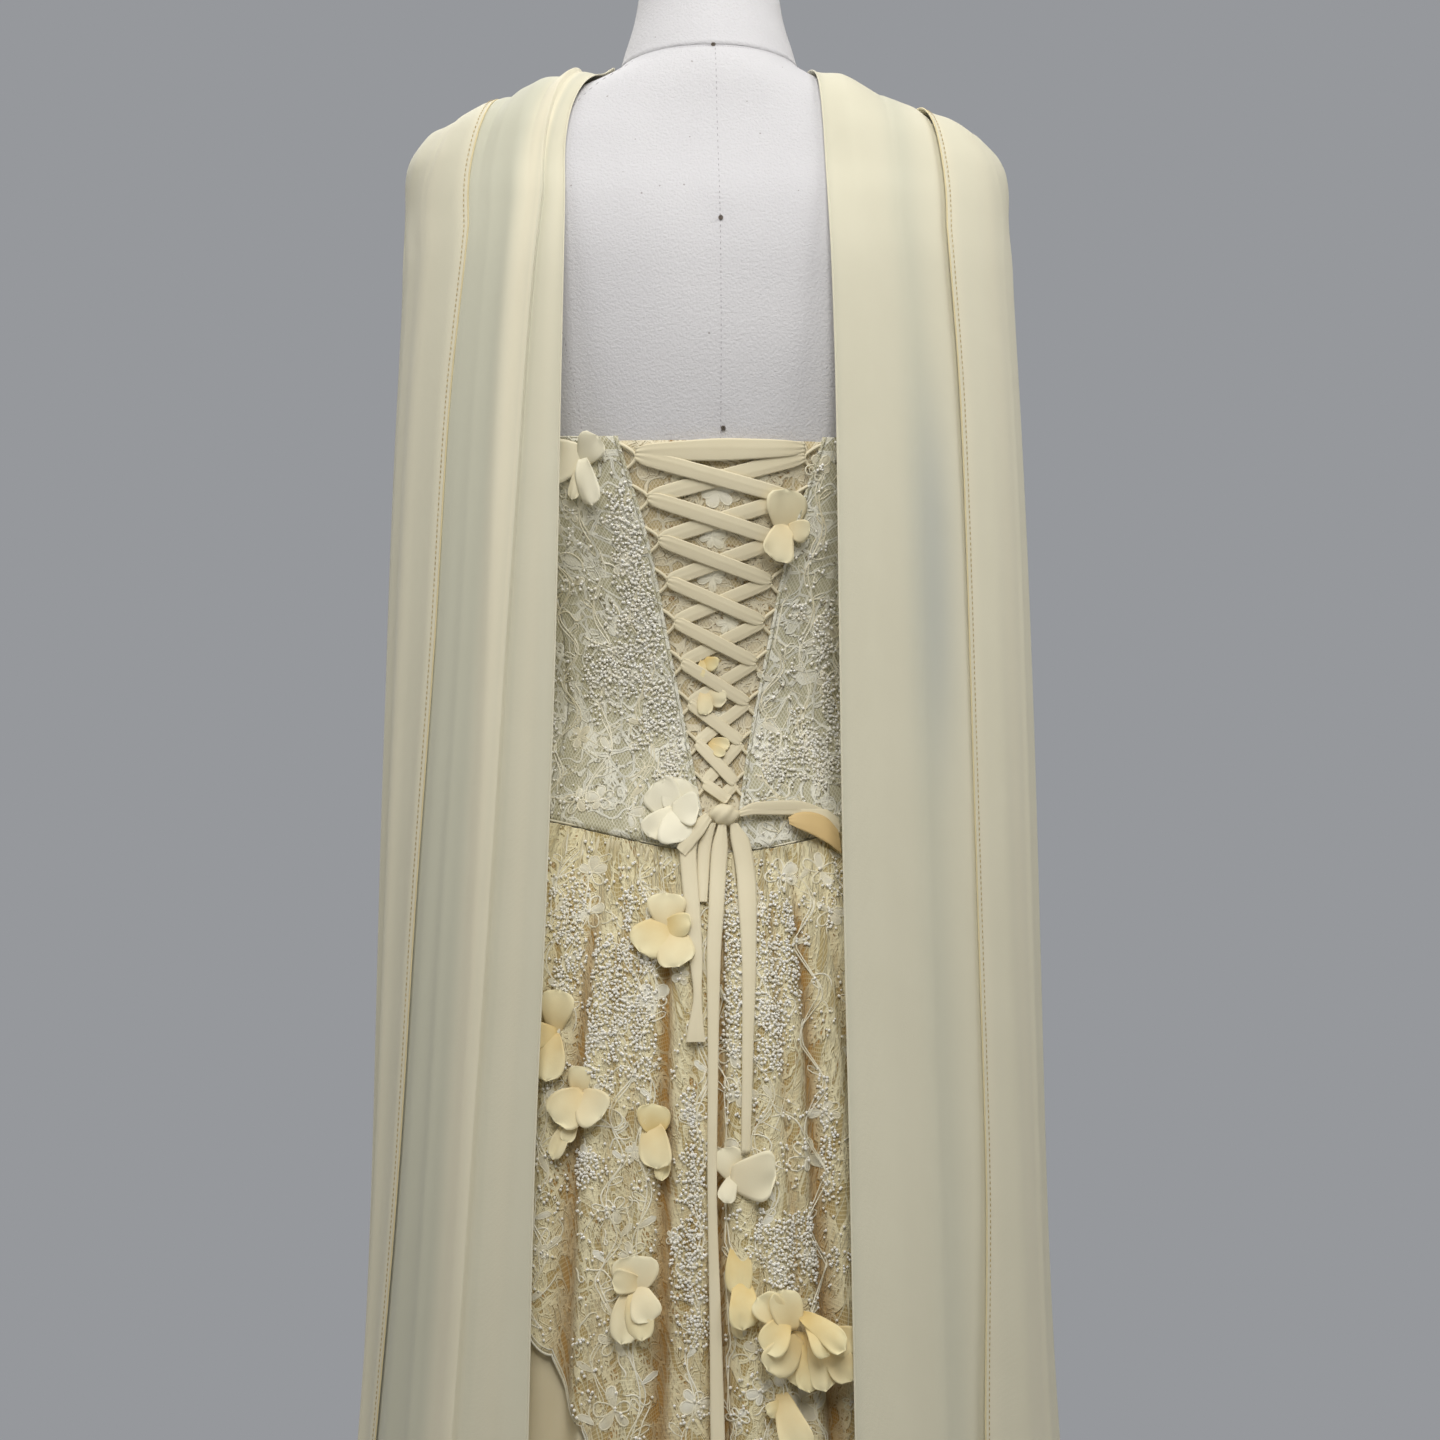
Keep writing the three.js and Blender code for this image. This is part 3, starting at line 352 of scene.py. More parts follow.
def make_mesh(name, points, faces, coordinates=None, attributes=None):
    """A smooth mesh object from points in mm and faces of equal corner count."""
    points = np.asarray(points, float).reshape(-1, 3)
    faces = np.ascontiguousarray(faces, dtype=np.int32)
    count, corners = faces.shape
    mesh = bpy.data.meshes.new(name)
    mesh.vertices.add(len(points))
    mesh.vertices.foreach_set("co", (points * MM).astype(np.float32).ravel())
    mesh.loops.add(count * corners)
    mesh.loops.foreach_set("vertex_index", faces.ravel())
    mesh.polygons.add(count)
    mesh.polygons.foreach_set("loop_start", np.arange(0, count * corners, corners, dtype=np.int32))
    mesh.update(calc_edges=True)
    mesh.polygons.foreach_set("use_smooth", np.ones(count, bool))
    if coordinates is not None:
        layer = mesh.uv_layers.new(name="cloth")
        laid = np.asarray(coordinates, float).reshape(-1, 2) * MM
        layer.data.foreach_set("uv", laid[faces.ravel()].astype(np.float32).ravel())
    for label, values in (attributes or {}).items():
        values = np.broadcast_to(values, (len(points),)) if np.ndim(values) == 0 else np.asarray(values)
        stored = mesh.attributes.new(label, "FLOAT", "POINT")
        stored.data.foreach_set("value", values.astype(np.float32).ravel())
    piece = bpy.data.objects.new(name, mesh)
    bpy.context.scene.collection.objects.link(piece)
    return piece


def finish_piece(piece, material, stands_for=(), thickness=0.0):
    """Gives a piece its material, its thickness inwards and its body, and hides the nodes it stands for."""
    piece.data.materials.append(material)
    if thickness:
        wall = piece.modifiers.new("wall", "SOLIDIFY")
        wall.thickness = thickness * MM
        wall.offset = -1
    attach(piece, "root")
    if stands_for:
        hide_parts(*stands_for)
    return piece


def grid(point, columns, rows):
    """What point(u, v) gives on an even grid, with u across and v up, each from 0 to 1."""
    u, v = np.meshgrid(np.linspace(0, 1, columns + 1), np.linspace(0, 1, rows + 1))
    return point(u, v)


def cloth(name, points, material, stands_for, thickness, spare=1.0, attributes=None):
    """A thin sheet from its outer grid of points, whose flat cut is worked out but not kept. Its UV is the
    distance along it.
    """
    rows, columns = points.shape[0] - 1, points.shape[1] - 1
    across = np.linalg.norm(np.diff(points, axis=1), axis=-1).cumsum(axis=1)
    along = np.linalg.norm(np.diff(points, axis=0), axis=-1).cumsum(axis=0)
    u = np.concatenate([np.zeros((rows + 1, 1)), across], axis=1)
    v = np.concatenate([np.zeros((1, columns + 1)), along], axis=0)
    u = u - u.mean(axis=1, keepdims=True)
    flat = points.reshape(-1, 3)
    faces = facing_out(flat, grid_faces(rows, columns))
    piece = make_mesh(name, flat, faces, np.stack([u, v], axis=-1), attributes)
    finish_piece(piece, material, stands_for, thickness)
    declare(points, spare)


def sheet_area(points):
    """The area of a grid of points, in square metres."""
    a, b = points[1:, 1:] - points[:-1, :-1], points[1:, :-1] - points[:-1, 1:]
    return float(np.linalg.norm(np.cross(a, b), axis=-1).sum() / 2 * MM * MM)


def declare(points, spare):
    """Works out what flat cut the shown cloth came from: the length along its middle, by its own mean width.
    The area is the shown one times spare, which is for what the folds and turnings take up. Neither is kept."""
    middle = points[:, points.shape[1] // 2]
    length = float(np.linalg.norm(np.diff(middle, axis=0), axis=1).sum()) * MM
    area = sheet_area(points) * spare


# ---- materials ----
def colour(red, green, blue):
    """A colour of 0 to 255 values as Blender's linear one."""
    return tuple(((c / 255 + 0.055) / 1.055) ** 2.4 for c in (red, green, blue)) + (1.0,)


def node(tree, kind, inputs=(), **settings):
    """Adds a node. inputs maps a socket's name or number to a value or to the socket that feeds it."""
    made = tree.nodes.new(kind)
    for key, value in settings.items():
        setattr(made, key, value)
    for key, value in dict(inputs).items():
        if isinstance(value, bpy.types.NodeSocket):
            tree.links.new(value, made.inputs[key])
        else:
            made.inputs[key].default_value = value
    return made


def calc(tree, operation, *values):
    """One step of arithmetic."""
    return node(tree, "ShaderNodeMath", dict(enumerate(values)), operation=operation).outputs[0]


def soft_step(tree, value, low, high):
    """The shader's own form of smooth."""
    inputs = {"Value": value, "From Min": low, "From Max": high}
    return node(tree, "ShaderNodeMapRange", inputs, interpolation_type="SMOOTHSTEP").outputs[0]


def blend_colour(tree, factor, a, b):
    """Colour a where the factor is 0, and b where it is 1."""
    return node(tree, "ShaderNodeMix", {0: factor, 6: a, 7: b}, data_type="RGBA").outputs[2]


def noise(tree, vector, scale, detail=2.0, roughness=0.5):
    """Cloudy values round a half, with about scale patches in a metre."""
    inputs = {"Vector": vector, "Scale": scale, "Detail": detail, "Roughness": roughness}
    return node(tree, "ShaderNodeTexNoise", inputs).outputs["Fac"]


def turned(tree, vector, degrees):
    """The pattern's place, turned in the cloth's own plane."""
    inputs = {"Vector": vector, "Rotation": (0, 0, math.radians(degrees))}
    return node(tree, "ShaderNodeMapping", inputs).outputs[0]


def waves(tree, vector, period, distortion=0.0, direction="X"):
    """Even bands a period apart, in metres. A wave texture of scale s repeats every pi / (10 s)."""
    inputs = {"Vector": vector, "Scale": math.pi / 10 / period, "Distortion": distortion}
    return node(tree, "ShaderNodeTexWave", inputs, bands_direction=direction).outputs["Fac"]


def new_group(name, inputs, outputs):
    """An empty node group, the sockets that it is given and the sockets that it fills."""
    tree = bpy.data.node_groups.new(name, "ShaderNodeTree")
    for label, kind in inputs.items():
        tree.interface.new_socket(name=label, in_out="INPUT", socket_type=kind)
    for label, kind in outputs.items():
        tree.interface.new_socket(name=label, in_out="OUTPUT", socket_type=kind)
    return tree, tree.nodes.new("NodeGroupInput").outputs, tree.nodes.new("NodeGroupOutput").inputs


def weave_group():
    """Warp and weft a pitch apart over a fine grain, with soft mottling."""
    tree, given, result = new_group(
        "plain weave",
        {"Vector": "NodeSocketVector", "Pitch": "NodeSocketFloat"},
        {"Height": "NodeSocketFloat", "Mottle": "NodeSocketFloat"},
    )
    density = calc(tree, "DIVIDE", 1.0, given["Pitch"])
    scaled = node(tree, "ShaderNodeVectorMath", {0: given["Vector"], "Scale": density}, operation="SCALE")
    vector = scaled.outputs[0]
    warp = waves(tree, vector, 1.0, 0.8, "X")
    weft = waves(tree, vector, 1.0, 0.8, "Y")
    grain = noise(tree, vector, 0.7, 3.0, 0.6)
    threads = calc(tree, "MAXIMUM", warp, weft)
    height = calc(tree, "ADD", calc(tree, "MULTIPLY", threads, 0.45), calc(tree, "MULTIPLY", grain, 0.55))
    tree.links.new(height, result["Height"])
    tree.links.new(noise(tree, given["Vector"], 22.0, 3.0), result["Mottle"])
    return tree


TULLE = {"slant": 32, "pitch": 0.0019}  # degrees from the cloth's own length, and metres


def net_group():
    """Bobbin lace: a fine diamond tulle; an openwork of threads round small holes; patches of close-worked
    petals, which are rounded cells with a corded outline; and cords between them, along larger cells and
    along the contours of two slow noises. A higher Density widens the openwork and the patches. Worked is
    where the thread lies thick, Tulle is the plain net between, and Hole is the openings of the openwork."""
    tree, given, result = new_group(
        "lace net",
        {"Vector": "NodeSocketVector", "Density": "NodeSocketFloat"},
        dict.fromkeys(("Worked", "Tulle", "Hole", "Height"), "NodeSocketFloat"),
    )
    vector = given["Vector"]
    inverse = lambda value: calc(tree, "SUBTRACT", 1.0, value)
    most = lambda a, b: calc(tree, "MAXIMUM", a, b)
    times = lambda a, b: calc(tree, "MULTIPLY", a, b)
    away = lambda value, middle: calc(tree, "ABSOLUTE", calc(tree, "SUBTRACT", value, middle))
    one = waves(tree, turned(tree, vector, TULLE["slant"]), TULLE["pitch"])
    two = waves(tree, turned(tree, vector, -TULLE["slant"]), TULLE["pitch"])
    tulle = calc(tree, "POWER", most(one, two), 4.0)
    bend = node(tree, "ShaderNodeTexNoise", {"Vector": vector, "Scale": 70.0, "Detail": 1.0}).outputs["Color"]
    push = {0: bend, 1: (0.006, 0.006, 0.006), 2: vector}
    pushed = node(tree, "ShaderNodeVectorMath", push, operation="MULTIPLY_ADD").outputs[0]

    def edges(scale):
        """How far a place lies from the nearest edge of rounded cells."""
        inputs = {"Vector": pushed, "Scale": scale}
        return node(tree, "ShaderNodeTexVoronoi", inputs, feature="DISTANCE_TO_EDGE").outputs["Distance"]

    def band(value, middle, width):
        """1 where the value is near the middle, and 0 from a width away."""
        return inverse(soft_step(tree, away(value, middle), width * 0.6, width))

    zones, clouds = noise(tree, pushed, 26.0, 1.0), noise(tree, pushed, 46.0, 1.0)
    cells = edges(230.0)
    breadth = calc(tree, "MULTIPLY_ADD", given["Density"], -0.03, away(zones, 0.55))
    netted = inverse(soft_step(tree, breadth, 0.006, 0.016))
    openwork = times(inverse(soft_step(tree, cells, 0.1, 0.2)), netted)
    hole = times(soft_step(tree, cells, 0.16, 0.3), netted)
    reach = calc(tree, "MULTIPLY_ADD", given["Density"], -0.2, 0.64)
    inside = soft_step(tree, calc(tree, "SUBTRACT", clouds, reach), 0.0, 0.012)
    rim = edges(118.0)
    heart = calc(tree, "MULTIPLY_ADD", soft_step(tree, rim, 0.09, 0.14), -0.45, 1.0)
    petals = times(times(inside, soft_step(tree, rim, 0.02, 0.045)), heart)
    broken = soft_step(tree, noise(tree, vector, 34.0, 1.0), 0.4, 0.44)
    cords = times(band(edges(74.0), 0.03, 0.035), broken)
    stems = most(band(zones, 0.45, 0.012), band(clouds, reach, 0.016))
    worked = most(most(openwork, petals), most(cords, stems))
    tree.links.new(hole, result["Hole"])
    tree.links.new(worked, result["Worked"])
    tree.links.new(tulle, result["Tulle"])
    tree.links.new(calc(tree, "ADD", worked, times(tulle, 0.15)), result["Height"])
    return tree


WEAVE = weave_group()
NET = net_group()


class Finish:
    """One material: a Principled shader, and shortcuts for what feeds it."""

    def __init__(self, name, roughness=0.8, **constants):
        self.material = bpy.data.materials.new(name)
        self.material.use_nodes = True
        self.tree = self.material.node_tree
        self.shader = self.tree.nodes["Principled BSDF"]
        self.shader.inputs["Roughness"].default_value = roughness
        for key, value in constants.items():
            self.shader.inputs[key.replace("_", " ")].default_value = value

    def laid(self):
        """Places by the distance along the cloth."""
        return node(self.tree, "ShaderNodeTexCoord").outputs["UV"]

    def placed(self):
        """Places by the object's own coordinates."""
        return node(self.tree, "ShaderNodeTexCoord").outputs["Object"]

    def stored(self, label):
        """A value that the mesh carries at each point."""
        return node(self.tree, "ShaderNodeAttribute", attribute_name=label).outputs["Fac"]

    def grouped(self, tree, inputs):
        """The outputs of a node group that is given its own values here."""
        return node(self.tree, "ShaderNodeGroup", inputs, node_tree=tree).outputs

    def weave(self, vector, pitch):
        return self.grouped(WEAVE, {"Vector": vector, "Pitch": pitch})

    def feed(self, socket, value):
        """Links a value to one of the shader's sockets."""
        self.tree.links.new(value, self.shader.inputs[socket])

    def bump(self, height, distance, strength=1.0):
        """A surface that stands up to the distance, in metres, where the height is 1."""
        inputs = {"Height": height, "Distance": distance, "Strength": strength}
        self.feed("Normal", node(self.tree, "ShaderNodeBump", inputs).outputs[0])


def canvas_finish(name):
    """Close white canvas with a pebbled grain and a few dark flecks."""
    f = Finish(name, 0.86, Sheen_Weight=0.1)
    vector = f.placed()
    mottle, pebbles = noise(f.tree, vector, 14.0, 3.0), noise(f.tree, vector, 620.0, 2.5, 0.6)
    tone = blend_colour(f.tree, mottle, colour(206, 205, 209), colour(219, 218, 221))
    tone = blend_colour(f.tree, calc(f.tree, "MULTIPLY", pebbles, 0.25), tone, colour(196, 194, 199))
    flecks = node(f.tree, "ShaderNodeTexVoronoi", {"Vector": vector, "Scale": 130.0})
    chosen = calc(f.tree, "GREATER_THAN", flecks.outputs["Color"], 0.72)
    spot = calc(f.tree, "MULTIPLY", chosen, calc(f.tree, "LESS_THAN", flecks.outputs["Distance"], 0.085))
    tone = blend_colour(f.tree, calc(f.tree, "MULTIPLY", spot, 0.55), tone, colour(120, 108, 104))
    f.feed("Base Color", tone)
    f.bump(pebbles, 0.0007, 0.9)
    return f.material


def chiffon_finish(name, shaded_cool, warm, see_through_grey):
    """Matt crepe chiffon, warmer where it doubles over itself. Its stored shares also paint shade: the first,
    darker and cooler colour stands for the shade in troughs, creases and where a layer turns away, and the
    third for the shade that shows through where the cloth hangs free.
    """
    f = Finish(name, 0.78, Sheen_Weight=0.2, Sheen_Roughness=0.5)
    weave = f.weave(f.laid(), 0.0007)
    tone = blend_colour(f.tree, f.stored("warmth_and_shade"), shaded_cool, warm)
    tone = blend_colour(f.tree, f.stored("see_through_shade"), tone, see_through_grey)
    darker = node(
        f.tree, "ShaderNodeHueSaturation", {"Value": 0.95, "Saturation": 1.04, "Color": tone}
    ).outputs[0]
    f.feed("Base Color", blend_colour(f.tree, weave["Mottle"], darker, tone))
    f.bump(weave["Height"], 0.00022, 0.7)
    return f.material


def satin_finish(name, light, dark, roughness, pitch=0.0005):
    """A smooth weave with a faint sheen and uneven tone."""
    f = Finish(name, roughness, Sheen_Weight=0.15)
    weave = f.weave(f.laid(), pitch)
    f.feed("Base Color", blend_colour(f.tree, weave["Mottle"], dark, light))
    f.bump(weave["Height"], 0.00012, 0.5)
    return f.material


def lace_finish(name, ground, shade, thread, density):
    """Lace worked over a plain ground. The stored depth paints shade into the folds, in gold, the openwork's
    holes are painted in the same shade colour, and soft random mottling leans a little towards it.
    """
    f = Finish(name, 0.78, Sheen_Weight=0.15)
    vector = f.laid()
    net = f.grouped(NET, {"Vector": vector, "Density": density})
    depth = f.stored("depth")
    mottle = soft_step(f.tree, noise(f.tree, vector, 26.0, 3.0), 0.45, 0.7)
    # Painted shade in the folds and in the openwork's holes.
    fold_and_hole_shade = calc(f.tree, "MAXIMUM", depth, net["Hole"])
    sunk = calc(f.tree, "MAXIMUM", fold_and_hole_shade, calc(f.tree, "MULTIPLY", mottle, 0.3))
    base = blend_colour(f.tree, sunk, ground, shade)
    netted = blend_colour(f.tree, calc(f.tree, "MULTIPLY", net["Tulle"], 0.5), base, thread)
    worn = noise(f.tree, vector, 300.0, 2.0)
    threads = blend_colour(f.tree, calc(f.tree, "MULTIPLY", worn, 0.4), thread, netted)
    worked = blend_colour(f.tree, net["Worked"], netted, threads)
    # Painted shade: the folds darken further towards the shade colour.
    f.feed("Base Color", blend_colour(f.tree, calc(f.tree, "MULTIPLY", depth, 0.7), worked, shade))
    f.bump(net["Height"], 0.0009, 0.9)
    return f.material


def thread_finish(name, light, dark):
    """Worked thread: a fine cord twist on off-white."""
    f = Finish(name, 0.7, Sheen_Weight=0.2)
    vector = f.placed()
    grain = noise(f.tree, vector, 900.0, 2.0)
    patches = soft_step(f.tree, noise(f.tree, vector, 35.0, 2.0), 0.35, 0.65)
    f.feed("Base Color", blend_colour(f.tree, patches, dark, light))
    f.bump(grain, 0.0003, 0.7)
    return f.material


def petal_finish():
    """Thin matt silk petals: golden at the foot, which also paints the shade where petals lie over one
    another, paler towards the rim, with a soft uneven dye.
    """
    f = Finish("silk petal", 0.7, Sheen_Weight=0.25)
    dye = noise(f.tree, f.placed(), 120.0, 2.0)
    along = calc(f.tree, "ADD", f.stored("along"), calc(f.tree, "MULTIPLY_ADD", dye, 0.5, -0.25))
    tone = blend_colour(f.tree, along, colour(226, 194, 118), colour(248, 236, 188))
    f.feed("Base Color", blend_colour(f.tree, f.stored("tint"), tone, colour(250, 244, 220)))
    f.bump(noise(f.tree, f.laid(), 900.0, 2.0), 0.0001, 0.4)
    return f.material


def bead_finish():
    """Small glass beads, silver-lined and pearl mixed."""
    f = Finish("glass bead", 0.35, Coat_Weight=0.2)
    vector = f.placed()
    cells = node(f.tree, "ShaderNodeTexVoronoi", {"Vector": vector, "Scale": 420.0}).outputs["Color"]
    pick = node(f.tree, "ShaderNodeSeparateColor", {0: cells}).outputs[0]
    f.feed("Base Color", blend_colour(f.tree, pick, colour(246, 241, 226), colour(255, 254, 250)))
    f.feed("Metallic", calc(f.tree, "MULTIPLY", calc(f.tree, "GREATER_THAN", pick, 0.95), 0.4))
    return f.material


def paint_finish(name, light, dark, roughness, metallic=0.0):
    """Sprayed paint or polished metal with a fine orange peel and worn patches."""
    f = Finish(name, roughness, Metallic=metallic)
    vector = f.placed()
    f.feed("Base Color", blend_colour(f.tree, noise(f.tree, vector, 60.0, 4.0), dark, light))
    f.bump(noise(f.tree, vector, 700.0, 2.0), 0.0001, 0.4)
    return f.material


CANVAS = canvas_finish("padded canvas")
CANVAS_CAP = canvas_finish("canvas cap")
# The first colour is the single cloth in painted shade, the second the doubled cloth, the third painted shade
# seen through the cloth.
CHIFFON = chiffon_finish("ivory chiffon", colour(192, 193, 176), colour(240, 232, 207), colour(188, 190, 181))
# The rolled hem's golden colour also paints the golden shadow line along the hem, on the layer below.
HEM_ROLL_AND_SHADOW_LINE = satin_finish("rolled hem", colour(226, 213, 172), colour(212, 196, 150), 0.7)
HEM_STITCH = thread_finish("hem stitch", colour(196, 176, 126), colour(184, 162, 110))
RIBBON = satin_finish("crepe ribbon", colour(241, 232, 203), colour(230, 217, 183), 0.6)
# A darker golden copy of the ribbon: painted shade inside the turned loop.
RIBBON_LOOP_SHADE = satin_finish("ribbon in the loop's painted shade", colour(236, 208, 152), colour(222, 190, 130), 0.65)
LINING = satin_finish("plain lining", colour(232, 221, 190), colour(218, 204, 168), 0.5)
BODICE_LACE = lace_finish(
    "bodice lace", colour(188, 182, 149), colour(112, 98, 58), colour(255, 253, 240), 0.15
)
SKIRT_LACE = lace_finish(
    "skirt lace", colour(180, 158, 100), colour(168, 124, 50), colour(255, 246, 208), 0.7
)
PANEL_LACE = lace_finish(
    "panel lace", colour(204, 188, 146), colour(150, 116, 62), colour(252, 244, 218), 0.7
)
THREAD = thread_finish("worked thread", colour(252, 247, 228), colour(236, 228, 200))
GATHER = thread_finish("gathered net", colour(232, 222, 190), colour(206, 190, 144))
WHITE_THREAD = thread_finish("close-worked petal", colour(238, 235, 220), colour(222, 214, 188))
PETAL = petal_finish()
BEAD = bead_finish()
PAINT = paint_finish("stand paint", colour(205, 198, 184), colour(184, 176, 160), 0.42)
PIN_METAL = paint_finish("pin head", colour(150, 140, 128), colour(110, 100, 90), 0.3, 0.9)
STITCH = paint_finish("seam stitch", colour(150, 142, 150), colour(128, 120, 128), 0.8)


# ---- dress form and stand ----
def add_form():
    """The padded form, whose canvas dips a little round each pin, and its neck: closed stacks of rings."""
    def dimple(angle, z):
        width = DIMPLE["width"]
        across = bell(angle * 100, 0, width)
        return -DIMPLE["depth"] * sum(across * bell(z, pin, width) for pin in DIMPLE["heights"])

    dimpled = Surface(FORM_RINGS, lambda angle, z: PADDED_FORM.shape(angle, z) + dimple(wrapped(angle), z))
    below = np.arange(FORM_BOTTOM_Z, TILT_FROM_Z, FORM_ROW)
    shoulders = np.arange(TILT_FROM_Z, NECK_SEAM_Z + 0.1, FORM_ROW / 2)
    parts = {
        "form_body": (np.concatenate([below, shoulders]), "form_torso"),
        "form_collar": (np.linspace(NECK_SEAM_Z + SEAM_GAP, NECK_TOP_Z, 22), "form_neck"),
    }
    columns = 128
    for name, (heights, stands_for) in parts.items():
        angle, z = np.meshgrid(np.linspace(0, 2 * math.pi, columns, endpoint=False), heights)
        points = dimpled.point(angle, z).reshape(-1, 3)
        faces = facing_out(points, grid_faces(len(heights) - 1, columns, closed=True))
        piece = make_mesh(name, points, faces, np.stack([angle * BODY_RADIUS, z], axis=-1))
        close_ends(piece)
        finish_piece(piece, CANVAS, (stands_for,))


def close_ends(piece):
    """Fills a tube's two open rims."""
    work = bmesh.new()
    work.from_mesh(piece.data)
    rims = [edge for edge in work.edges if edge.is_boundary]
    bmesh.ops.holes_fill(work, edges=rims, sides=0)
    bmesh.ops.recalc_face_normals(work, faces=work.faces)
    work.to_mesh(piece.data)
    work.free()


def rods(name, starts, ends, radius, material, sides=6):
    """Short pins or stitches: each is a capped prism between a start and an end, thinner at both."""
    starts, ends = np.asarray(starts, float), np.asarray(ends, float)
    axis = unit(ends - starts)
    helper = np.where(np.abs(axis[:, 2:3]) < 0.9, [[0.0, 0.0, 1.0]], [[1.0, 0.0, 0.0]])
    one = unit(np.cross(axis, helper))
    two = np.cross(axis, one)
    turn = np.linspace(0, 2 * math.pi, sides, endpoint=False)
    ring = one[:, None] * np.cos(turn)[:, None] + two[:, None] * np.sin(turn)[:, None]
    rows = []
    for share, size in ((0.0, 0.25), (0.25, 1.0), (0.75, 1.0), (1.0, 0.25)):
        rows.append(mix(starts, ends, share)[:, None] + ring * radius * size)
    last = 3 * sides
    caps = [[last, last + i + 1, last + i + 2, last + i + 3] for i in range(0, sides - 2, 2)]
    caps += [[i + 3, i + 2, i + 1, 0] for i in range(0, sides - 2, 2)]
    one_rod = np.vstack([grid_faces(3, sides, closed=True), caps])
    piece = make_mesh(name, np.stack(rows, axis=1), repeated(one_rod, len(starts), 4 * sides))
    return finish_piece(piece, material)


def add_form_details():
    """Needle marks along the form's seams, and the three pins behind."""
    starts, ends, lift = [], [], NEEDLE_MARK["lift"]
    z = np.arange(FORM_BOTTOM_Z + 4, NECK_SEAM_Z - 2, NEEDLE_MARK["pitch"])
    for degrees in FORM_SEAMS:
        lean = 0.3 * smooth(1230, 1430, z) if abs(degrees) == 44 else 0 * z
        angle = math.radians(degrees) * (1 + lean)
        starts.append(PADDED_FORM.lifted(angle, z, lift))
        ends.append(PADDED_FORM.lifted(angle, z + NEEDLE_MARK["length"], lift))
    step = 0.03
    turn = np.arange(0, 2 * math.pi, step)
    starts.append(PADDED_FORM.lifted(turn, NECK_SEAM_Z - 1.0, lift))
    ends.append(PADDED_FORM.lifted(turn + step, NECK_SEAM_Z - 1.0, lift))
    rods("form_seams", np.vstack(starts), np.vstack(ends), NEEDLE_MARK["radius"], STITCH, 4)

    def stand_off(lift):
        return np.vstack([
            PADDED_FORM.lifted(FORM.angle_at(x, z), np.array([float(z)]), lift) for x, z in PIN["places"]
        ])

    rods("pin_heads", stand_off(-PIN["sunk"]), stand_off(PIN["proud"]), PIN["radius"], PIN_METAL)


# ---- bodice ----
def opening_angle(z, more=0.0):
    """The laced opening's edge, or a line that lies more mm outside it."""
    return FORM.angle_at(OPENING["half"](z) + more, z)


def bodice_grid(start, end, columns, rows):
    """A panel between two seams, each an angle in degrees or a function of height. Its surface is the form's,
    moved out, with a soft ridge of boning down its middle and a shallow dip along each seam."""
    seam = lambda edge, z: edge(z) if callable(edge) else math.radians(edge)

    def point(u, v):
        guess = mix(WAIST_BACK_Z, BODICE_TOP_BACK_Z, v)
        rough = mix(seam(start, guess), seam(end, guess), u)
        z = mix(waist_seam_z(rough), bodice_top_z(rough), v)
        angle = mix(seam(start, z), seam(end, z), u)
        ridge = 0.7 * bell(u, 0.5, 0.035) - 0.5 * (bell(u, 0, 0.03) + bell(u, 1, 0.03))
        slack = 0.35 * np.sin(z / 11 + 9 * angle) * smooth(1040, 990, z)
        return FORM.lifted(angle, z, BODICE_FACE + ridge + slack)

    return grid(point, columns, rows)


def stretched_lace(node_name, points, lace=BODICE_LACE, thickness=BODICE_THICK, depth=0.0):
    """A panel of lace over the form, in place of its node. Its depth is the share of painted fold shade."""
    cloth(
        f"{node_name}_lace", points, lace, [node_name], thickness,
        1.02, {"depth": depth},
    )


def add_bodice():
    """Three panels on each side, the centre front, and the modesty panel behind the lacing."""
    seams = PRINCESS_SEAMS
    spans = {
        "back": (lambda z: opening_angle(z, PIPING), seams["back"], 44),
        "side": (seams["back"], seams["side"], 36),
        "cup": (seams["side"], seams["front"], 52),
    }
    rows = 60
    for name, sign in SIDES.items():
        for part, (start, end, columns) in spans.items():
            stretched_lace(f"bodice_{part}_{name}", bodice_grid(start, end, columns, rows) * [sign, 1, 1])
    stretched_lace("bodice_front", bodice_grid(seams["front"], 360 - seams["front"], 64, rows))

    def panel(u, v):
        z = mix(WAIST_BACK_Z - 1, BODICE_TOP_BACK_Z - 3, v)
        edge = opening_angle(z, MODESTY_LAP)
        return FORM.lifted(mix(-edge, edge, u), z, MODESTY_FACE)

    # The modesty panel's 0.15 paints a little fold shade evenly over it.
    stretched_lace("modesty_panel", grid(panel, 40, rows), PANEL_LACE, THICK["panel"], 0.15)


def row_z(row):
    """The height of a row of loops."""
    return LACING["top"] - LACING["step"] * row


def loop_reach(row):
    """How far a loop stands into the opening: less, row by row, down the lacing."""
    return mix(7, 4.2, row / (LACING["rows"] - 1))


def tube(route, radius, normals, sides=8, squash=1.0):
    """A round cord along each route (cords, points, 3), on cloth of these normals. Its section is a circle
    that squash flattens, and its ends narrow as a square root to close it."""
    run = unit(np.gradient(route, axis=1))
    side = unit(np.cross(normals, run))
    over = np.cross(run, side)
    turn = np.linspace(0, 2 * math.pi, sides, endpoint=False)
    share = np.linspace(0, 1, route.shape[1])
    size = radius * np.sqrt(np.clip(np.minimum(share, 1 - share) * 14, 0.02, 1))
    wide = side[:, :, None] * np.cos(turn)[:, None]
    tall = over[:, :, None] * np.sin(turn)[:, None] * squash
    points = route[:, :, None] + (wide + tall) * size[None, :, None, None]
    faces = grid_faces(route.shape[1] - 1, sides, closed=True)[:, ::-1]
    return points.reshape(-1, 3), repeated(faces, len(route), route.shape[1] * sides)


